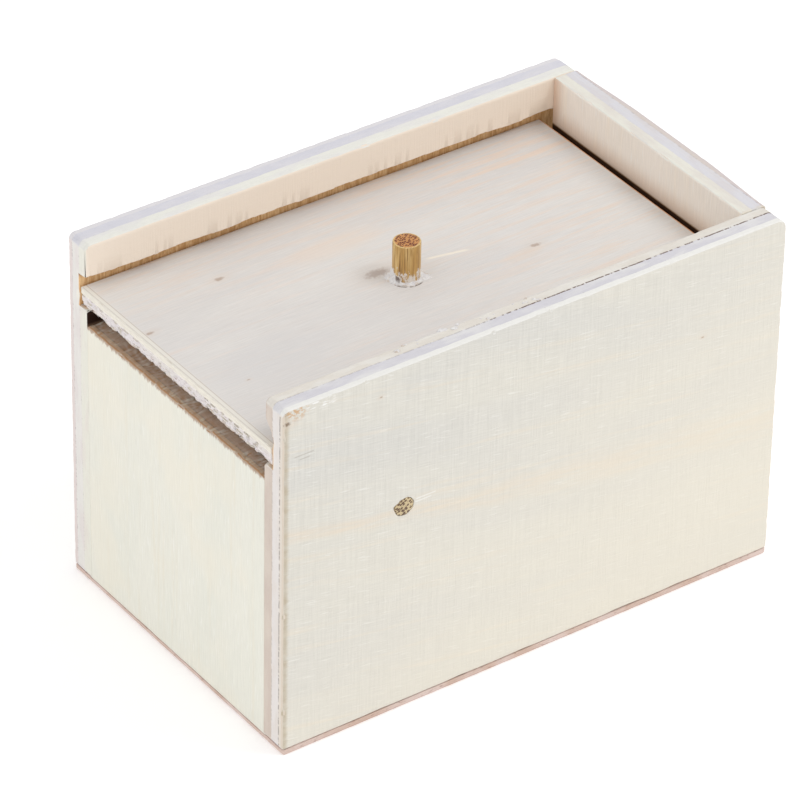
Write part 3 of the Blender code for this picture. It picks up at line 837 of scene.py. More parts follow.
def bamboo(name, axis, centre, tones, cut_tone, dots, bundle_tone, smear=None):
    """Dowel: stripes along the axis, dark fibre bundles on the cut ends. smear is the range of
    heights over which glue clings to it."""
    g = Graph(name)
    axes = [g.x, g.y, g.z]
    run = axes.pop(axis)
    centres = [value for k, value in enumerate(centre) if k != axis]
    one, two = (g.minus(part, middle) for part, middle in zip(axes, centres))
    around = g.math("ARCTAN2", two, one)
    stripes = g.grain((around, 5.5), (run, 0.10), 0.0, detail=4, roughness=0.7)
    broad = g.grain((around, 1.3), (run, 0.08), 4.0, detail=2)
    pale, middle, dark = tones
    side = g.mix(g.rise(stripes, 0.30, 0.55), dark, middle)
    side = g.mix(g.both(g.rise(broad, 0.42, 0.62), g.rise(stripes, 0.40, 0.60)), side, pale)
    turn = math.radians(28)
    rows = g.vector(
        g.add(g.times(one, math.cos(turn)), g.times(two, math.sin(turn))),
        g.times(g.minus(g.times(two, math.cos(turn)), g.times(one, math.sin(turn))), 1.55), 0.0)
    bundle = g.rise(g.cells(rows, dots, 0.55), 0.38, 0.56, 1.0, 0.0)
    rim = g.length(one, two)
    end = g.paint(g.shade(cut_tone, g.noise(rows, 3.0, 3), 0.30), bundle_tone, 0.95, bundle)
    end = g.mix(g.rise(rim, PEG_R * 0.80, PEG_R * 0.97), end, pale)
    if smear:
        glue = g.grain((around, 3.0), (run, 0.8), 8.0, detail=5, roughness=0.75)
        low = g.rise(run, *smear, 0.12, -0.14)
        side = g.mix(g.rise(g.add(glue, low), 0.54, 0.62, 0.0, 0.85), side, rgb(234, 228, 222))
    on_end = g.rise(g.math("ABSOLUTE", g.normal[axis]), 0.6, 0.85)
    colour = g.mix(on_end, side, end)
    height = g.add(g.times(stripes, 0.8), g.times(bundle, g.times(on_end, -1.2)))
    return g.surface(colour, 0.5, height, depth=0.07, specular=0.35)


def glue_finish():
    g = Graph("dried_glue")
    lumps = g.noise(g.place, 1.6, 4, 0.6)
    dirt = g.rise(g.noise(g.place, 1.1, 3), 0.52, 0.66)
    colour = g.mix(g.rise(lumps, 0.35, 0.65), rgb(216, 213, 214), rgb(236, 234, 232))
    colour = g.paint(colour, rgb(206, 186, 164), 0.6, dirt)
    pit_x, pit_y = PEG.x - PEG_R + 0.1, PEG.y - 0.7
    off = g.length(g.times(g.minus(g.x, pit_x), 1.7), g.minus(g.y, pit_y))
    # painted shade: a dark gap in the glue at the peg's front foot
    pit_shade = g.both(g.rise(off, 0.25, 0.65, 1.0, 0.0), g.rise(lumps, 0.40, 0.50, 0.4, 1.0))
    colour = g.paint(colour, rgb(104, 84, 72), 0.9, pit_shade)
    return g.surface(colour, g.rise(lumps, 0.3, 0.7, 0.35, 0.6), lumps, depth=0.12, specular=0.4)


def steel(name, dull):
    """Drawn spring wire: fine scratches and a little tarnish."""
    g = Graph(name)
    scratch = g.noise(g.place, 9.0, 4, 0.7)
    tarnish = g.rise(g.noise(g.place, 0.5, 4, 0.65), 0.45, 0.75)
    colour = g.paint(rgb(196, 196, 200), rgb(140, 126, 112), dull, tarnish)
    colour = g.shade(colour, scratch, 0.12)
    roughness = g.add(g.rise(scratch, 0.3, 0.7, 0.18, 0.34), g.times(tarnish, 0.18))
    return g.surface(colour, roughness, scratch, depth=0.01, specular=0.5, Metallic=1.0)


# ---------------------------------------------------------------- boards

PIN_CRUSH = (0.93, 1.0, 0.83)         # the pin was pressed into a hole that is not quite round


def pin_outline(place, play=0.0):
    """Flatten the pin's upper front shoulder and roughen its outline."""
    across, up = place.x - PIN.x, place.z - PIN.z
    angle = math.atan2(up, across)
    flat = 0.13 * bump_at(angle, math.radians(128), 0.55)
    rough = 0.045 * wave_around(angle, 2.2, 6.0)
    size = 1 - flat + rough + play * (0.7 + bump_at(angle, math.radians(50), 0.5)) / PIN_R
    return Vector((PIN.x + across * size, place.y, PIN.z + up * size))


def side_wear(side):
    def change(place, normal):
        """Wear, the wavy torn edge under the lip, and its thinned front tip."""
        moved = worn(place, normal)
        depth = abs(place.y) - INNER_HALF_W
        above = place.z - GROOVE_HIGH
        if depth < 1.0 and -0.1 < above < 2.5:
            ragged = 0.24 * wave(place.x * 0.12, side * 3) \
                + 0.10 * round(1.6 * wave(place.x * 0.22, side * 7))
            fade = smoothstep(1.0 - depth, 0.0, 0.7) * smoothstep(2.5 - above, 0.0, 2.5)
            moved.z += (ragged + 0.05 * wave(place.x * 1.6, side)) * fade
        tip = smoothstep(-place.x, HALF_L - 3.2, HALF_L - 0.2) * (place.z > GROOVE_HIGH - 0.4)
        if tip > 0 and depth < 1.9 and side < 0:
            lost = 1.8 * smoothstep(GROOVE_HIGH + 2.6 - place.z, 0.0, 2.3)
            lost += 0.15 * wave(place.z * 1.3, 4.0)
            moved.y += side * tip * max(0.0, lost) * (1 - depth / 1.9)
        if tip > 0 and depth < 1.0 and side > 0:
            low = smoothstep(GROOVE_HIGH + 0.8 - place.z, 0.0, 0.8)
            moved.z += 0.15 * tip * low * smoothstep(1.0 - depth, 0.0, 0.8)
        if place.z > HEIGHT - 0.1 and depth < 2.0:
            moved.z -= 0.07 * humps(place.x * 1.3, place.y * 1.5)
        if depth < 0.36 and abs(place.x) > HALF_L - 0.37 and place.z < GROOVE_LOW - 0.2:
            # square where the short wall meets it, so that no groove shows at the joint
            moved = Vector((math.copysign(HALF_L, place.x), place.y, place.z))
        return moved
    return change


def side_board(name, side, finish, node):
    """A long side: sanded corners, the lid's groove, the pin's hole and worn, nicked arrises."""
    outline = rounded_rectangle((-HALF_L, WALL_LOW), (HALF_L, HEIGHT),
                                (LOW_CORNER_R, REAR_TOP_R, FRONT_TOP_R, LOW_CORNER_R))
    inner, outer = sorted((side * INNER_HALF_W, side * HALF_W))
    board = prism(outline, 1, inner, outer)
    round_arrises(board, SIDE_ARRIS_R, where=lambda edge: abs(edge.verts[0].co.y) > HALF_W - 0.1
                  or max(vert.co.z for vert in edge.verts) > GROOVE_HIGH + 0.5)
    over = 2.0                           # how far the cutters stand out of the board
    groove = block((-HALF_L - over, -GROOVE_HALF_W, GROOVE_LOW),
                   (HALF_L + over, GROOVE_HALF_W, GROOVE_HIGH))
    hole = rod((PIN.x, side * (INNER_HALF_W - over), PIN.z),
               (PIN.x, side * (HALF_W + over), PIN.z), PIN_R)
    bmesh.ops.scale(hole, vec=PIN_CRUSH, verts=hole.verts, space=Matrix.Translation(-PIN))
    reshape(hole, lambda place, normal: pin_outline(place, 0.03))
    board = subtract(board, [groove, hole])

    def lip_edge(edge):
        return all(abs(abs(v.co.y) - INNER_HALF_W) < 0.05 and
                   min(abs(v.co.z - GROOVE_HIGH), abs(v.co.z - GROOVE_LOW)) < 0.01 for v in edge.verts)

    round_arrises(board, LIP_ARRIS_R, 2, lip_edge)
    dice(board, 0, steps(-HALF_L, HALF_L, PLAIN_STEP) + [-HALF_L + 0.7, HALF_L - 0.7])
    lines = (GROOVE_LOW, GROOVE_HIGH)
    dice(board, 2, steps(WALL_LOW, HEIGHT, PLAIN_STEP, lines) + [HEIGHT - 0.7, WALL_LOW + 0.7])
    dice(board, 0, steps(-HALF_L, HALF_L, TORN_STEP),
         lambda c: c.z > GROOVE_HIGH - 0.4 and abs(c.y) < HALF_W - 0.02)
    dice(board, 2, steps(WALL_LOW, HEIGHT, 0.4, lines), lambda c: abs(c.x) > HALF_L - 0.5)
    dice(board, 1, [side * (INNER_HALF_W + k * 0.5) for k in range(1, 10)],
         lambda c: c.z > HEIGHT - 3 or abs(c.x) > HALF_L - 0.4)
    reshape(board, side_wear(side))
    finish_object(name, board, "box", finish, (node,))


def end_board(name, low_x, high_x, top, finish, node, ragged):
    """A short wall between the sides. ragged is how far its top edge is torn."""
    half = INNER_HALF_W - BOARD_GAP
    board = block((low_x, -half, WALL_LOW), (high_x, half, top))
    round_arrises(board, END_ARRIS_R,
                  where=lambda edge: abs(edge.verts[0].co.z - edge.verts[1].co.z) < 1.0)
    dice(board, 1, steps(-half, half, PLAIN_STEP) + [half - 0.6, 0.6 - half])
    dice(board, 2, steps(WALL_LOW, top, PLAIN_STEP) + [top - 0.6])
    dice(board, 0, steps(low_x, high_x, 0.45), lambda c: c.z > top - 0.3)
    dice(board, 1, steps(-half, half, TORN_STEP), lambda c: c.z > top - 0.65)
    dice(board, 2, [top - 0.45, top - 0.3], lambda c: c.z > top - 0.65)

    def change(place, normal):
        beside = abs(place.y) > half - 0.1 and place.z < top - 0.5
        moved = place if beside else worn(place, normal)
        if place.z > top - 0.3:
            tooth = 0.6 * humps(place.y * 1.2, place.x * 0.8) + 0.2 * humps(place.y * 2.6, place.x)
            moved.z -= ragged * tooth
        if top == HEIGHT:
            # the back wall's outer arris is sanded down into the corners beside it
            radius = 0.3 + 1.0 * smoothstep(abs(place.y), 8.0, half)
            past = place.x - (HALF_L - radius)
            if past > 0:
                moved.z = min(moved.z, HEIGHT - radius + math.sqrt(max(0.0, radius ** 2 - past ** 2)))
        return moved

    reshape(board, change)
    finish_object(name, board, "box", finish, (node,))


def bottom_board(finish):
    low, high = span("bottom_panel")
    outline = rounded_rectangle(low.xy, high.xy, (0.6,) * 4)
    board = prism(outline, 2, low.z, high.z)
    round_arrises(board, SHEET_ARRIS_R, 2)
    near_ends = [side * (HALF_L - k * 0.15) for side in (1, -1) for k in range(1, 9)]
    dice(board, 0, steps(low.x, high.x, 0.8) + near_ends)

    def near_rim(reach):
        return lambda c: abs(c.x) > HALF_L - reach or abs(c.y) > HALF_W - reach

    dice(board, 2, steps(low.z, high.z, 0.18), near_rim(0.2))
    dice(board, 1, steps(low.y, high.y, 0.8), near_rim(0.9))

    def change(place, normal):
        sideways = Vector((normal.x, normal.y, 0))
        moved = worn(place, normal, 0.4) - sideways * 0.07 * (0.4 + wave(*(place * 0.45)))
        from_end = HALF_L - abs(place.x)
        if from_end < 1.3:
            # the box's low corners were sanded round after the sheet was glued on
            radius = 0.55
            arc = radius - math.sqrt(max(0.0, radius ** 2 - max(0.0, radius - from_end) ** 2))
            moved.z = max(moved.z, min(arc, high.z - 0.1))
        return moved

    reshape(board, change)
    finish_object("bottom_sheet_board", board, "box", finish, ("bottom_panel",))


def lid_board(finish):
    """The sliding lid: three plies, torn and fuzzy where the front end was sawn."""
    low, high = LID_LOW, LID_HIGH
    thick = high.z - low.z
    board = block(low, high)
    round_arrises(board, THIN_ARRIS_R, 2)
    board = subtract(board, [rod((PEG.x, PEG.y, low.z - 1), (PEG.x, PEG.y, high.z + 1), PEG_R + 0.05)])
    dice(board, 0, steps(low.x, high.x, PLAIN_STEP) + [low.x + k for k in (0.5, 0.8, 1.2, 1.8)])
    dice(board, 1, steps(low.y, high.y, PLAIN_STEP) + [low.y + 0.6, high.y - 0.6])
    dice(board, 2, [high.z - k * 0.2 for k in range(2, int(thick / 0.2))], lambda c: c.x < low.x + 0.35)
    dice(board, 1, steps(low.y, high.y, 0.2), lambda c: c.x < low.x + 1.9)

    def change(place, normal):
        moved = worn(place, normal, 0.6)
        front = smoothstep(low.x + 1.3 - place.x, 0.0, 1.2)
        if front > 0:
            depth = high.z - place.z
            core = smoothstep(depth, OUTER_PLY - 0.1, OUTER_PLY + 0.15)
            last = smoothstep(depth, 2.35, 2.55)
            fuzz = 0.08 * wave(place.y * 1.1, place.z * 3.5) + 0.06 * wave(place.y * 2.9, place.z * 7.0)
            patchy = 0.5 + 1.2 * max(0.0, wave(place.y * 0.24, 4.4) + 0.15)
            nick = max(0.0, wave(place.y * 0.9, place.z * 3.3, 8.0) - 0.20) * 2.2 * patchy
            chip = humps(place.y * 0.42, 5.0) * 0.4 + humps(place.y * 1.7, 9.0) * 0.3 * patchy
            moved.x += front * (0.04 + core * (0.10 + fuzz + nick) + last * (0.12 + chip))
            lifted = 0.34 * humps(place.y * 0.5, 2.0) + 0.12 * humps(place.y * 2.1, 6.0)
            moved.z += front * smoothstep(depth, 2.5, 3.2) * lifted
        return moved

    reshape(board, change)
    finish_object("lid_board", board, "lid", finish, ("lid_panel",))


FIBRES, CRUMBS = 170, 16             # on the lid's front end and on the near lip


def splinter(start, along, length, width, bend):
    """A thin pointed fibre that starts inside the board."""
    path = [start + along * (length * k / 5) + bend * (k / 5) ** 2 for k in range(6)]
    return tube(path, lambda share: width * (1 - 0.85 * share), sides=5)


def lid_fibres(finish):
    """Torn fibres left by the saw along the lid's front end."""
    roll = random.Random(11)
    fibres = bmesh.new()
    for _ in range(FIBRES):
        y = roll.uniform(LID_LOW.y + 0.8, LID_HIGH.y - 0.8)
        z = LID_HIGH.z - roll.uniform(1.15, 3.1)
        deep = 0.35 + 0.25 * roll.random()
        start = Vector((LID_LOW.x + deep, y, z))
        along = Vector((roll.uniform(-0.4, -0.1), roll.choice((-1, 1)), roll.uniform(-0.15, 0.12)))
        length = roll.uniform(0.4, 1.3)
        bend = Vector((roll.uniform(-0.15, 0.2), 0, roll.uniform(-0.15, 0.12)))
        merge(fibres, splinter(start, along.normalized(), length, roll.uniform(0.03, 0.07), bend))
    finish_object("lid_edge_fibres", fibres, "lid", finish)


def fibre_wood():
    g = Graph("torn_fibre")
    patch = g.grain(0.0, (g.y, 1.3), (g.z, 2.0), detail=3)
    colour = g.mix(g.rise(patch, 0.40, 0.62), rgb(240, 236, 238), rgb(214, 190, 166))
    return g.surface(colour, 0.8, g.noise(g.place, 6.0), depth=0.03, specular=0.2)


# ---------------------------------------------------------------- dowels and glue

def dowel(name, start, end, radius, body, node, finish, uneven, outline=None):
    """Bamboo rod with slightly crushed, chamfered ends and shallow flutes."""
    wood = rod(start, end, radius, sides=72)
    round_arrises(wood, THIN_ARRIS_R, 2)
    axis = max(range(3), key=lambda k: abs(end[k] - start[k]))
    dice(wood, axis, steps(start[axis], end[axis], 1.2))
    centre = (Vector(start) + Vector(end)) / 2

    def change(place, normal):
        out = place - centre
        run = out[axis]
        out[axis] = 0
        angle = math.atan2(*[out[k] for k in range(3) if k != axis])
        flutes = 0.6 * wave_around(angle, 3, run * 0.05) + 0.4 * wave_around(angle, 9, run * 0.05)
        scale = 1 + uneven * flutes
        moved = centre + out * min(1.0, scale)
        moved[axis] = place[axis]
        return moved

    reshape(wood, change)
    if outline:
        bmesh.ops.scale(wood, vec=PIN_CRUSH, verts=wood.verts, space=Matrix.Translation(-PIN))
        reshape(wood, lambda place, normal: outline(place))
    finish_object(name, wood, body, finish, (node,))


def peg_glue(finish):
    """Glue squeezed up around the peg: thin in front, climbing at the left, a lump at the right."""
    floor, sunk = LID_HIGH.z, 0.05       # the bead reaches a little into the lid and the peg
    sides, rows = 120, 16
    lumps = ((150, 0.85, 1.9, 24), (188, 0.6, 1.6, 20), (-32, 1.35, 0.85, 20), (15, 0.5, 0.6, 26),
             (100, 0.35, 0.6, 30), (262, 0.35, 0.25, 22))
    rings = []
    glue = bmesh.new()
    for k in range(sides):
        angle = 360 * k / sides
        reach, rise = 0.35, 0.22
        for centre, out, up, width in lumps:
            off = (angle - centre + 180) % 360 - 180
            share = bump_at(off, 0.0, width)
            reach += out * share
            rise += up * share
        turn = math.radians(angle)
        rough = 1 + 0.35 * wave_around(turn, 3.5, 2.0) + 0.22 * wave_around(turn, 9, 7.0)
        reach, rise = reach * rough, rise * rough

        def around_peg(radius, height):
            return glue.verts.new((PEG.x + radius * math.cos(turn), PEG.y + radius * math.sin(turn),
                                   height))

        ring = []
        for j in range(rows):
            share = j / (rows - 1)
            out = reach * share ** 1.3
            up = rise * (1 - share) ** 1.8 + 0.16 * math.sin(math.pi * share)
            up += 0.10 * wave_around(turn, 5 * (1 + share), share * 4)
            height = floor + max(0.0 if j else 0.2, up) * (share < 1) - (sunk if share == 1 else 0)
            ring.append(around_peg(PEG_R - sunk + out, height))
        ring.append(around_peg(PEG_R - sunk, floor - sunk))
        rings.append(ring)
    for one, two in zip(rings, rings[1:] + rings[:1]):
        skin_between(glue, one, two)
    bmesh.ops.recalc_face_normals(glue, faces=glue.faces)
    finish_object("peg_glue_bead", glue, "lid", finish, ("peg_glue",), sharp=0)


def crumb(glue, centre, size, seed):
    """One irregular lump of dried glue."""
    lump = bmesh.new()
    bmesh.ops.create_icosphere(lump, subdivisions=3, radius=1)
    for vert in lump.verts:
        rough = 1 + 0.45 * wave(*(vert.co * 1.4 + Vector((seed, 0, 0)))) + 0.2 * wave(*(vert.co * 4))
        vert.co = Vector(centre) + Vector([vert.co[k] * size[k] * rough for k in range(3)])
    merge(glue, lump)


def lip_crumbs(finish):
    """White glue crumbs left on top of the near lip, beside the lid."""
    roll = random.Random(4)
    glue = bmesh.new()
    crumb(glue, (-23.8, -25.1, HEIGHT), (0.45, 0.35, 0.28), 1.0)
    crumb(glue, (-15.0, -24.3, HEIGHT - 0.1), (0.9, 0.45, 0.30), 2.0)
    crumb(glue, (-13.2, -24.9, HEIGHT - 0.05), (0.6, 0.40, 0.25), 3.0)
    for k in range(CRUMBS):
        x = roll.uniform(-27.0, 4.0)
        y = -roll.uniform(INNER_HALF_W + 0.15, GROOVE_HALF_W)
        size = roll.uniform(0.12, 0.30)
        crumb(glue, (x, y, HEIGHT - 0.05), (size * 1.3, size, size * 0.8), 5.0 + k)
    finish_object("lip_glue_crumbs", glue, "box", finish, sharp=0)


# ---------------------------------------------------------------- arm wire and spring

BAIL_LOW, BAIL_HIGH = span("wire_bail")
SPRING_LOW, SPRING_HIGH = span("torsion_spring")
BAIL_R = 0.8
SPRING_R = 0.45
BAR = Vector((BAIL_HIGH.x - BAIL_R, 0, BAIL_LOW.z + BAIL_R)) - PIN
BAR_HALF = 10.3                      # the bail's legs close in to this beside the mouse
LEG_Y = 20.5                         # plane of each leg
LEG_ANGLE, LEG_LENGTH = -58, 29
CLOSE_IN_X = 19.5
EYE_PITCH, EYE_TURN = 1.9, 400
COIL_OUT, COIL_TURNS, COIL_PITCH = 18.6, 5, 1.2
COIL_IN = COIL_OUT - COIL_PITCH * (COIL_TURNS - 0.25)
HOOK_ANGLE, HOOK_REACH = -65, 13


def around_pin(radius, degrees, y):
    angle = math.radians(degrees)
    return Vector((radius * math.cos(angle), y, radius * math.sin(angle)))


def helix(radius, start, end, start_y, end_y, step=6):
    count = max(2, round(abs(end - start) / step))
    return [around_pin(radius, start + (end - start) * k / count, start_y + (end_y - start_y) * k / count)
            for k in range(count + 1)]


def filleted(corners, radius, arc_steps=12):
    """A polyline whose inner corners are arcs."""
    path = [corners[0]]
    for before, corner, after in zip(corners, corners[1:], corners[2:]):
        back, on = (before - corner).normalized(), (after - corner).normalized()
        half_angle = back.angle(on) / 2
        centre = corner + (back + on).normalized() * (radius / math.sin(half_angle))
        trim = radius / math.tan(half_angle)
        first = (corner + back * trim - centre).normalized()
        last = (corner + on * trim - centre).normalized()
        path += [centre + radius * first.slerp(last, k / arc_steps) for k in range(arc_steps + 1)]
    return path + [corners[-1]]


def even(path, spacing):
    """The same path with points no further apart than spacing."""
    result = [path[0]]
    for one, two in zip(path, path[1:]):
        count = max(1, math.ceil((two - one).length / spacing))
        result += [one.lerp(two, k / count) for k in range(1, count + 1)]
    return result


def on_pin(path):
    return [point + PIN for point in path]


def mirrored(path):
    return [Vector((p.x, -p.y, p.z)) for p in reversed(path)]


def wire_bail(finish):
    """Eyes around the pin, two legs, and the bar that the mouse is lashed to."""
    radius = PIN_R + 0.15 + BAIL_R
    leave = LEG_ANGLE - 90
    axial = EYE_PITCH * EYE_TURN / 360
    eye = helix(radius, leave - EYE_TURN, leave, -LEG_Y - axial, -LEG_Y)
    knee = eye[-1] + around_pin(LEG_LENGTH, LEG_ANGLE, 0)
    beside = Vector((CLOSE_IN_X, -BAR_HALF, BAR.z))
    corner = Vector((BAR.x, -BAR_HALF, BAR.z))
    leg = filleted([eye[-1], knee, beside, corner, BAR.copy()], 2.2)
    half = eye[:-1] + even(leg, 1.2)
    path = on_pin(half + mirrored(half)[1:])
    wire = tube(path, lambda share: BAIL_R, sides=18)
    finish_object("bail_wire", wire, "arm", finish, ("wire_bail",))


def spring_half(name, side, finish):
    """Half of the double torsion spring; its coil winds up between the box and the arm."""
    radius = PIN_R + 0.4 + SPRING_R
    bridge_x = SPRING_LOW.x + SPRING_R - PIN.x
    drop = SPRING_LOW.z + SPRING_R - PIN.z
    bridge = Vector((bridge_x, -COIL_IN, drop))
    reach = math.hypot(bridge_x, drop)
    heading = math.degrees(math.atan2(drop, bridge_x) - math.asin(radius / reach)) + 180
    coil = helix(radius, heading - 90, HOOK_ANGLE - 90 + 360 * COIL_TURNS, -COIL_IN, -COIL_OUT)
    tip = coil[-1] + around_pin(HOOK_REACH, HOOK_ANGLE, 0)
    hook_end = tip - Vector((0, SPRING_HIGH.y - COIL_OUT, 0))
    fixed = filleted([Vector((bridge_x, 0, drop)), bridge, coil[0]], 1.2)
    moving = filleted([coil[-1], tip, hook_end], 0.9)
    path = even(fixed, 0.8)[:-1] + coil[:-1] + even(moving, 0.8)
    if side > 0:
        path = mirrored(path)
    wire = tube(on_pin(path), lambda share: SPRING_R, sides=12)
    piece = finish_object(name, wire, None, finish, ("torsion_spring",))
    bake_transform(piece)


# ---------------------------------------------------------------- mouse

MOUSE_LENGTH = BODY_HIGH.x - BODY_LOW.x
MOUSE_HALF_W = (BODY_HIGH.y - BODY_LOW.y) / 2
MOUSE_HALF_H = 6.4
MOUSE_AXIS_Z = 8.2                   # the rump's middle above the ground
HEAD_RISE = 2.5
LASH_X, LASH_PITCH, LASH_TURNS, LASH_R = 0.3, 1.1, 3, 0.35
FUR_GREY, FUR_DARK, FUR_PALE = rgb(112, 108, 106), rgb(74, 70, 69), rgb(150, 146, 142)
PINK, PINK_DEEP = rgb(222, 160, 150), rgb(190, 112, 104)


def pear(share, rear, front):
    fullest = rear / (rear + front)
    return (share / fullest) ** rear * ((1 - share) / (1 - fullest)) ** front


def mouse_middle(share):
    return Vector((BODY_LOW.x + MOUSE_LENGTH * share, 0, MOUSE_AXIS_Z + HEAD_RISE * share ** 2))


def mouse_skin(share, degrees, lift=0.0):
    """A point on the body; 0 degrees is +Y, 90 the belly, which is up in the shut box."""
    share = min(1.0, max(0.0, share))
    neck = 1 - 0.09 * bump_at(share, 0.665, 0.05) + 0.05 * bump_at(share, 0.79, 0.06)
    width = MOUSE_HALF_W * 0.95 * pear(share, 0.5, 0.75) * neck + 0.45 * bump_at(share, 0.20, 0.10)
    height = MOUSE_HALF_H * pear(share, 0.5, 0.65) * neck
    angle = math.radians(degrees)
    across, up = math.cos(angle), math.sin(angle)
    if up > 0:
        height *= 0.93
    lashed = LASH_X + LASH_PITCH * LASH_TURNS / 2
    x = mouse_middle(share).x
    pinch = 0.45 * bump_at(x, lashed, 2.2)
    lift -= pinch
    return mouse_middle(share) + Vector((0, (width + lift) * across, (height + lift) * up))


def ellipsoid(target, centre, half, turn=Matrix(), fine=3):
    matrix = Matrix.Translation(centre) @ turn.to_4x4() @ Matrix.Diagonal((*half, 1))
    bmesh.ops.create_icosphere(target, subdivisions=fine, radius=1, matrix=matrix)


def body_blank():
    """Body, haunches and paws as overlapping closed shapes, before they are fused."""
    rings, sides = 72, 64
    blank = bmesh.new()
    loops = []
    for k in range(1, rings):
        share = 0.5 - 0.5 * math.cos(math.pi * k / rings)
        loops.append([blank.verts.new(mouse_skin(share, 360 * j / sides)) for j in range(sides)])
    for one, two in zip(loops, loops[1:]):
        skin_between(blank, one, two)
    for share, loop in ((0, loops[0]), (1, loops[-1])):
        tip = blank.verts.new(mouse_middle(share))
        for j in range(sides):
            blank.faces.new((loop[j], loop[(j + 1) % sides], tip))
    for share, side, front in ((0.15, 1, 0), (0.15, -1, 0), (0.64, 1, 1), (0.64, -1, 1)):
        root = mouse_skin(share, 90 - side * 38)
        palm = root + Vector((0.4, 0, 0.1))
        ellipsoid(blank, palm, (2.2 - 0.4 * front, 1.25, 1.15))
        for toe in (-1, 0, 1):
            place = palm + Vector((2.0 - 0.4 * front, toe * 0.72, 0.15))
            ellipsoid(blank, place, (0.85, 0.40, 0.42), Matrix.Rotation(toe * 0.3, 4, "Z"), 2)
    bmesh.ops.recalc_face_normals(blank, faces=blank.faces)
    return blank


def fuse(mesh_data, voxel, smoothing):
    """Melt overlapping shapes into one skin with a voxel remesh, then relax it."""
    made = temporary(mesh_data)
    melt = made.modifiers.new("melt", "REMESH")
    melt.mode = "VOXEL"
    melt.voxel_size = voxel
    relax = made.modifiers.new("relax", "SMOOTH")
    relax.factor = 0.5
    relax.iterations = smoothing
    return with_modifiers(made)


def mouse_body(finish):
    skin = fuse(body_blank(), voxel=0.32, smoothing=4)

    def change(place, normal):
        """Fur strokes moulded into the rubber, combed towards the rump; the snout stays smooth."""
        share = (place.x - BODY_LOW.x) / MOUSE_LENGTH
        stroke = wave(place.x * 0.55, place.y * 2.3, place.z * 2.3) \
            + 0.5 * wave(place.x * 1.3, place.y * 4.5, place.z * 4.5)
        furry = smoothstep(0.95 - share, 0.0, 0.12)
        sockets = sum(bump_at((place - eye_place(side)).length, 0.0, 1.25) for side in (1, -1))
        return place + normal * (0.11 * stroke * furry - 0.35 * sockets)

    reshape(skin, change)
    finish_object("mouse_rubber_body", skin, "arm", finish, ("mouse_body",), sharp=0)


def eye_place(side):
    return mouse_skin(0.84, -90 + side * 55, 0.15)


def mouse_ear(name, side, finish, node):
    """A thin cupped ear, hollow side facing forwards and out."""
    rings, sides = 14, 56
    radius, thick = 3.4, 0.30
    root = mouse_skin(0.72, -90 + side * 52, 1.0)
    turn = Matrix.Rotation(math.radians(side * 40), 4, "X") @ Matrix.Rotation(math.radians(12), 4, "Y")
    ear = bmesh.new()
    layers = []
    for front in (1, -1):
        loops = []
        for k in range(rings + 1):
            share = k / rings
            flesh = thick * (1.15 - 0.75 * share ** 2) * (1 if k < rings else 0.35)
            cup = 0.95 * (share ** 2) + 0.25 * share ** 8
            loop = []
            for j in range(sides if k else 1):
                angle = 2 * math.pi * j / sides
                outline = radius * (1 + 0.05 * math.cos(2 * angle) + 0.03 * math.cos(3 * angle + 1))
                ripple = 0.12 * share ** 2 * math.sin(4 * angle + side)
                loop.append(ear.verts.new(Vector((
                    cup + ripple + front * flesh - 0.5,
                    outline * share * math.sin(angle), outline * share * math.cos(angle)))))
            loops.append(loop)
        layers.append(loops)
        for one, two in zip(loops[1:], loops[2:]):
            skin_between(ear, one, two)
        for j in range(sides):
            ear.faces.new((loops[0][0], loops[1][j], loops[1][(j + 1) % sides]))
    skin_between(ear, layers[0][-1], layers[1][-1])
    bmesh.ops.recalc_face_normals(ear, faces=ear.faces)
    bmesh.ops.transform(ear, matrix=Matrix.Translation(root) @ turn, verts=ear.verts)
    finish_object(name, ear, "arm", finish, (node,), sharp=0)


def mouse_face(pink, bead, hair):
    for name, side in (("left", 1), ("right", -1)):
        mouse_ear("mouse_cupped_ear_" + name, side, pink, "mouse_ear_" + name)
        eye = bmesh.new()
        ellipsoid(eye, eye_place(side), (1.0, 1.0, 1.0), fine=4)
        for vert in eye.verts:
            vert.co += (vert.co - eye_place(side)).normalized() * 0.01 * wave(*(vert.co * 3))
        finish_object("mouse_bead_eye_" + name, eye, "arm", bead,
                      ("mouse_eye_" + name,), sharp=0)

    nose = bmesh.new()
    tip = mouse_middle(1) + Vector((0.1, 0, 0))
    ellipsoid(nose, tip, (0.95, 1.25, 1.0), fine=4)
    for vert in nose.verts:
        away = vert.co - tip
        crease = 0.35 * bump_at(away.y, 0, 0.22) * smoothstep(away.x, 0.1, 0.8)
        nostril = 0.4 * bump_at(abs(away.y), 0.62, 0.25) * bump_at(away.z, 0.1, 0.25) \
            * smoothstep(away.x, 0.1, 0.6)
        vert.co.x -= crease + nostril
    finish_object("mouse_snub_nose", nose, "arm", pink, ("mouse_nose",), sharp=0)

    whiskers = bmesh.new()
    for side in (1, -1):
        for k in range(5):
            root = mouse_skin(0.945 + 0.006 * (k % 2), -90 + side * (62 + 11 * k), -0.25)
            out = Vector((-0.25 - 0.06 * k, side * 0.9, -0.30 + 0.17 * k)).normalized()
            length = 7.5 - 0.5 * abs(k - 2)
            droop = Vector((-1.6, 0, 0.5))
            path = [root + out * (length * t / 12) + droop * (t / 12) ** 2 for t in range(13)]
            merge(whiskers, tube(path, lambda share: 0.11 * (1 - 0.7 * share), sides=8))
    finish_object("mouse_whiskers", whiskers, "arm", hair)


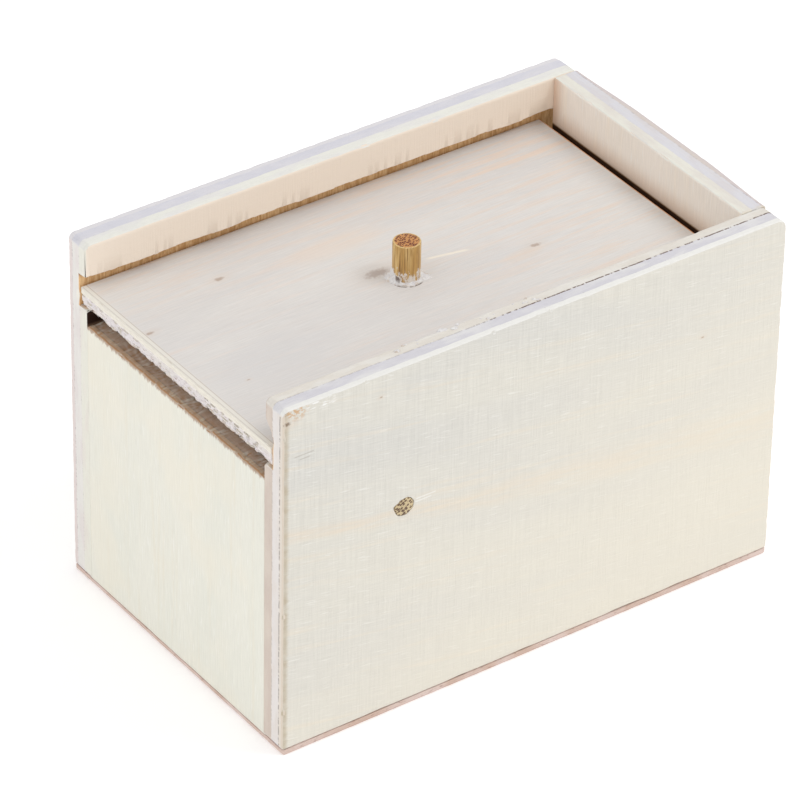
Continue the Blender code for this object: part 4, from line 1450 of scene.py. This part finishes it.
def mouse_tail(finish):
    """Ringed, tapering tail that lies forwards over the floor."""
    root = mouse_middle(0)
    count = 150
    path = []
    for k in range(count + 1):
        share = k / count
        path.append(root + Vector((0.8 - 26 * share, 4 * math.sin(1.6 * math.pi * share),
                                   -4.4 * math.sin(0.5 * math.pi * share))))

    def radius(share):
        ring = 0.05 * math.sin(2 * math.pi * share * 30)
        return (1.1 - 0.7 * share + ring) * min(1.0, 0.35 + math.sqrt(max(0.0, 1 - share)) * 6)

    finish_object("mouse_ringed_tail", tube(path, radius, sides=20), "arm", finish,
                  ("mouse_tail",), sharp=0)


def tight_loop(x, heading):
    """Where a taut thread round the body and both legs lies, seen along the body at x."""
    share = (x - BODY_LOW.x) / MOUSE_LENGTH
    middle = mouse_middle(share)
    reaches = []
    hold = [(mouse_skin(share, 6 * k), 0.2) for k in range(60)]
    hold += [(Vector((x, side * BAR_HALF, BAR.z + PIN.z)), BAIL_R + LASH_R) for side in (1, -1)]
    for k in range(180):
        # the hull's outline in one direction is the nearest of its supporting lines
        normal = Vector((0, math.cos(math.radians(2 * k)), math.sin(math.radians(2 * k))))
        towards = normal.y * math.cos(heading) + normal.z * math.sin(heading)
        if towards > 0.2:
            support = max((place - middle).dot(normal) + thick for place, thick in hold)
            reaches.append(support / towards)
    reach = min(reaches)
    return middle + Vector((0, reach * math.cos(heading), reach * math.sin(heading)))


def lashing(finish):
    """Two-ply thread wound round the body and the bail's legs."""
    per_turn = 90
    core = []
    for k in range(LASH_TURNS * per_turn + 1):
        x = LASH_X + LASH_PITCH * k / per_turn
        core.append(tight_loop(x, 2 * math.pi * k / per_turn))
    core = even(core, 0.3)
    thread = bmesh.new()
    for phase in (0, math.pi):
        strand = []
        for k, point in enumerate(core):
            ahead = (core[min(k + 1, len(core) - 1)] - core[max(k - 1, 0)]).normalized()
            out = Vector((1, 0, 0))
            side = ahead.cross(out).normalized()
            twist = phase + k * 0.55
            strand.append(point + 0.16 * (out * math.cos(twist) + side * math.sin(twist)))
        merge(thread, tube(strand, lambda share: 0.20, sides=8))
    finish_object("thread_lashing", thread, "arm", finish, ("lashing_thread",))


def rubber(name, tones, grain, depth, roughness, stretch=(1, 1, 1)):
    g = Graph(name)
    place = g.vector(*(g.times(part, scale) for part, scale in zip((g.x, g.y, g.z), stretch)))
    fine = g.noise(place, grain, 4, 0.65)
    broad = g.noise(g.place, 0.22, 3)
    base, dark, pale = tones
    colour = g.mix(g.rise(broad, 0.35, 0.68), base, dark)
    colour = g.paint(colour, pale, 0.45, g.rise(fine, 0.50, 0.75))
    shine = g.rise(fine, 0.3, 0.7, roughness - 0.08, roughness + 0.08)
    return g.surface(colour, shine, fine, depth=depth, specular=0.45, Sheen_Weight=0.15,
                     Subsurface_Weight=0.08, Subsurface_Scale=0.0008)


def bead_finish():
    g = Graph("glossy_bead")
    haze = g.noise(g.place, 1.5, 3)
    colour = g.mix(haze, rgb(10, 9, 9), rgb(28, 24, 22))
    return g.surface(colour, g.rise(haze, 0.3, 0.7, 0.06, 0.14), haze, depth=0.01, specular=0.6)


def thread_finish(name, pale, dark):
    g = Graph(name)
    fuzz = g.noise(g.place, 5.0, 4, 0.7)
    return g.surface(g.mix(g.rise(fuzz, 0.35, 0.65), dark, pale), 0.85, fuzz, depth=0.05, specular=0.2)


# ---------------------------------------------------------------- stage

def stage_finish(name, value, glow):
    g = Graph(name)
    cloud = g.noise(g.place, 0.004, 2)
    colour = g.shade((value, value, value, 1.0), cloud, 0.01)
    return g.surface(colour, 0.9, specular=0.0, Emission_Color=(1, 1, 1, 1), Emission_Strength=glow)


def build_stage():
    floor = bmesh.new()
    bmesh.ops.create_grid(floor, x_segments=8, y_segments=8, size=3000)
    plane = add_object("studio_floor", as_mesh("studio_floor", floor, MM))
    plane.location.z = -0.05 * MM
    plane.data.materials.append(stage_finish("studio_white", 0.94, 0.22))


def backwards(azimuth, elevation):
    """Direction from the box to a viewer or a lamp; 0, 0 looks level at the near side."""
    azimuth, elevation = math.radians(azimuth), math.radians(elevation)
    return Vector((math.sin(azimuth) * math.cos(elevation), -math.cos(azimuth) * math.cos(elevation),
                   math.sin(elevation)))


def area_light(name, azimuth, elevation, distance, size, power, colour=(1, 1, 1)):
    """A square soft box aimed at the middle of the box."""
    light = bpy.data.lights.new(name, "AREA")
    light.shape = "SQUARE"
    light.size = size * MM
    light.energy = power
    light.color = colour
    made = add_object(name, light)
    back = backwards(azimuth, elevation)
    made.location = ((BOX_LOW + BOX_HIGH) / 2 + back * distance) * MM
    made.rotation_mode = "QUATERNION"
    made.rotation_quaternion = (-back).to_track_quat("-Z", "Y")


def build_light():
    world = bpy.data.worlds.new("studio_world")
    world.use_nodes = True
    background = world.node_tree.nodes["Background"]
    background.inputs["Color"].default_value = (1.0, 1.0, 1.0, 1.0)
    background.inputs["Strength"].default_value = 0.79
    bpy.context.scene.world = world
    area_light("key_softbox", 50, 52, 600, 240, 0.80, (1.0, 0.985, 0.965))
    area_light("fill_softbox", -85, 35, 700, 500, 0.55)
    bpy.context.scene.view_settings.view_transform = "Standard"


def build_camera():
    """The viewing angle: a long lens, from the front left and above."""
    roll = math.radians(1.13)
    distance, right_shift, up_shift = 884.086, 3.916, -0.639
    back = backwards(-35.986, 34.69)
    right = (-back).cross(Vector((0, 0, 1))).normalized()
    up = right.cross(-back)
    tilted_right = math.cos(roll) * right + math.sin(roll) * up
    tilted_up = -math.sin(roll) * right + math.cos(roll) * up
    centre = Vector((0, 0, HEIGHT / 2))
    camera = bpy.data.cameras.new("camera")
    camera.sensor_width = 36
    camera.lens = 256.6
    made = add_object("camera", camera)
    turn = Matrix((tilted_right, tilted_up, back)).transposed()
    place = centre - tilted_right * right_shift + tilted_up * up_shift + back * distance
    made.matrix_world = Matrix.Translation(place * MM) @ turn.to_4x4()
    camera.clip_start, camera.clip_end = 0.05, 20
    bpy.context.scene.camera = made


def main():
    side_board("right_side_board", -1, near_side_wood(), "right_side_panel")
    side_board("left_side_board", 1, far_side_wood(), "left_side_panel")
    end_board("front_board", -HALF_L, FRONT_FACE_X, FRONT_TOP, front_wood(), "front_panel", 0.35)
    end_board("back_board", BACK_FACE_X, HALF_L, HEIGHT, back_wood(), "back_panel", 0.10)
    bottom_board(sheet_wood())
    lid_board(lid_wood())
    lid_fibres(fibre_wood())
    gold = (rgb(230, 198, 138), rgb(198, 156, 92), rgb(136, 98, 58))
    peg_bamboo = bamboo("peg_bamboo", 2, PEG, gold, rgb(206, 146, 88), 2.1, rgb(118, 58, 38),
                        (LID_HIGH.z + 0.5, LID_HIGH.z + 4.2))
    dowel("peg_dowel", (PEG.x, PEG.y, PEG_LOW.z), (PEG.x, PEG.y, PEG_HIGH.z), PEG_R,
          "lid", "lid_peg", peg_bamboo, 0.05)
    tan = (rgb(208, 188, 154), rgb(196, 174, 140), rgb(132, 108, 84))
    pin_bamboo = bamboo("pin_bamboo", 1, PIN, tan, rgb(208, 188, 148), 1.7, rgb(96, 68, 52))
    dowel("pin_dowel", (PIN.x, PIN_LOW.y, PIN.z), (PIN.x, PIN_HIGH.y, PIN.z), PIN_R,
          "box", "cross_pin", pin_bamboo, 0.04, pin_outline)
    glue = glue_finish()
    peg_glue(glue)
    lip_crumbs(glue)

    bail_steel = steel("bail_steel", 0.55)
    wire_bail(bail_steel)
    spring_steel = steel("spring_steel", 0.35)
    spring_half("spring_left_half", 1, spring_steel)
    spring_half("spring_right_half", -1, spring_steel)
    pink = rubber("pink_rubber", (PINK, PINK_DEEP, rgb(236, 184, 174)), 2.2, 0.05, 0.48)
    mouse_body(rubber("grey_rubber", (FUR_GREY, FUR_DARK, FUR_PALE), 1.6, 0.14, 0.58, (0.35, 1.6, 1.6)))
    nylon = thread_finish("whisker_nylon", rgb(232, 228, 220), rgb(190, 184, 174))
    mouse_face(pink, bead_finish(), nylon)
    mouse_tail(pink)
    lashing(thread_finish("lashing_cotton", rgb(226, 214, 190), rgb(176, 158, 128)))


main()
build_stage()
build_light()
build_camera()
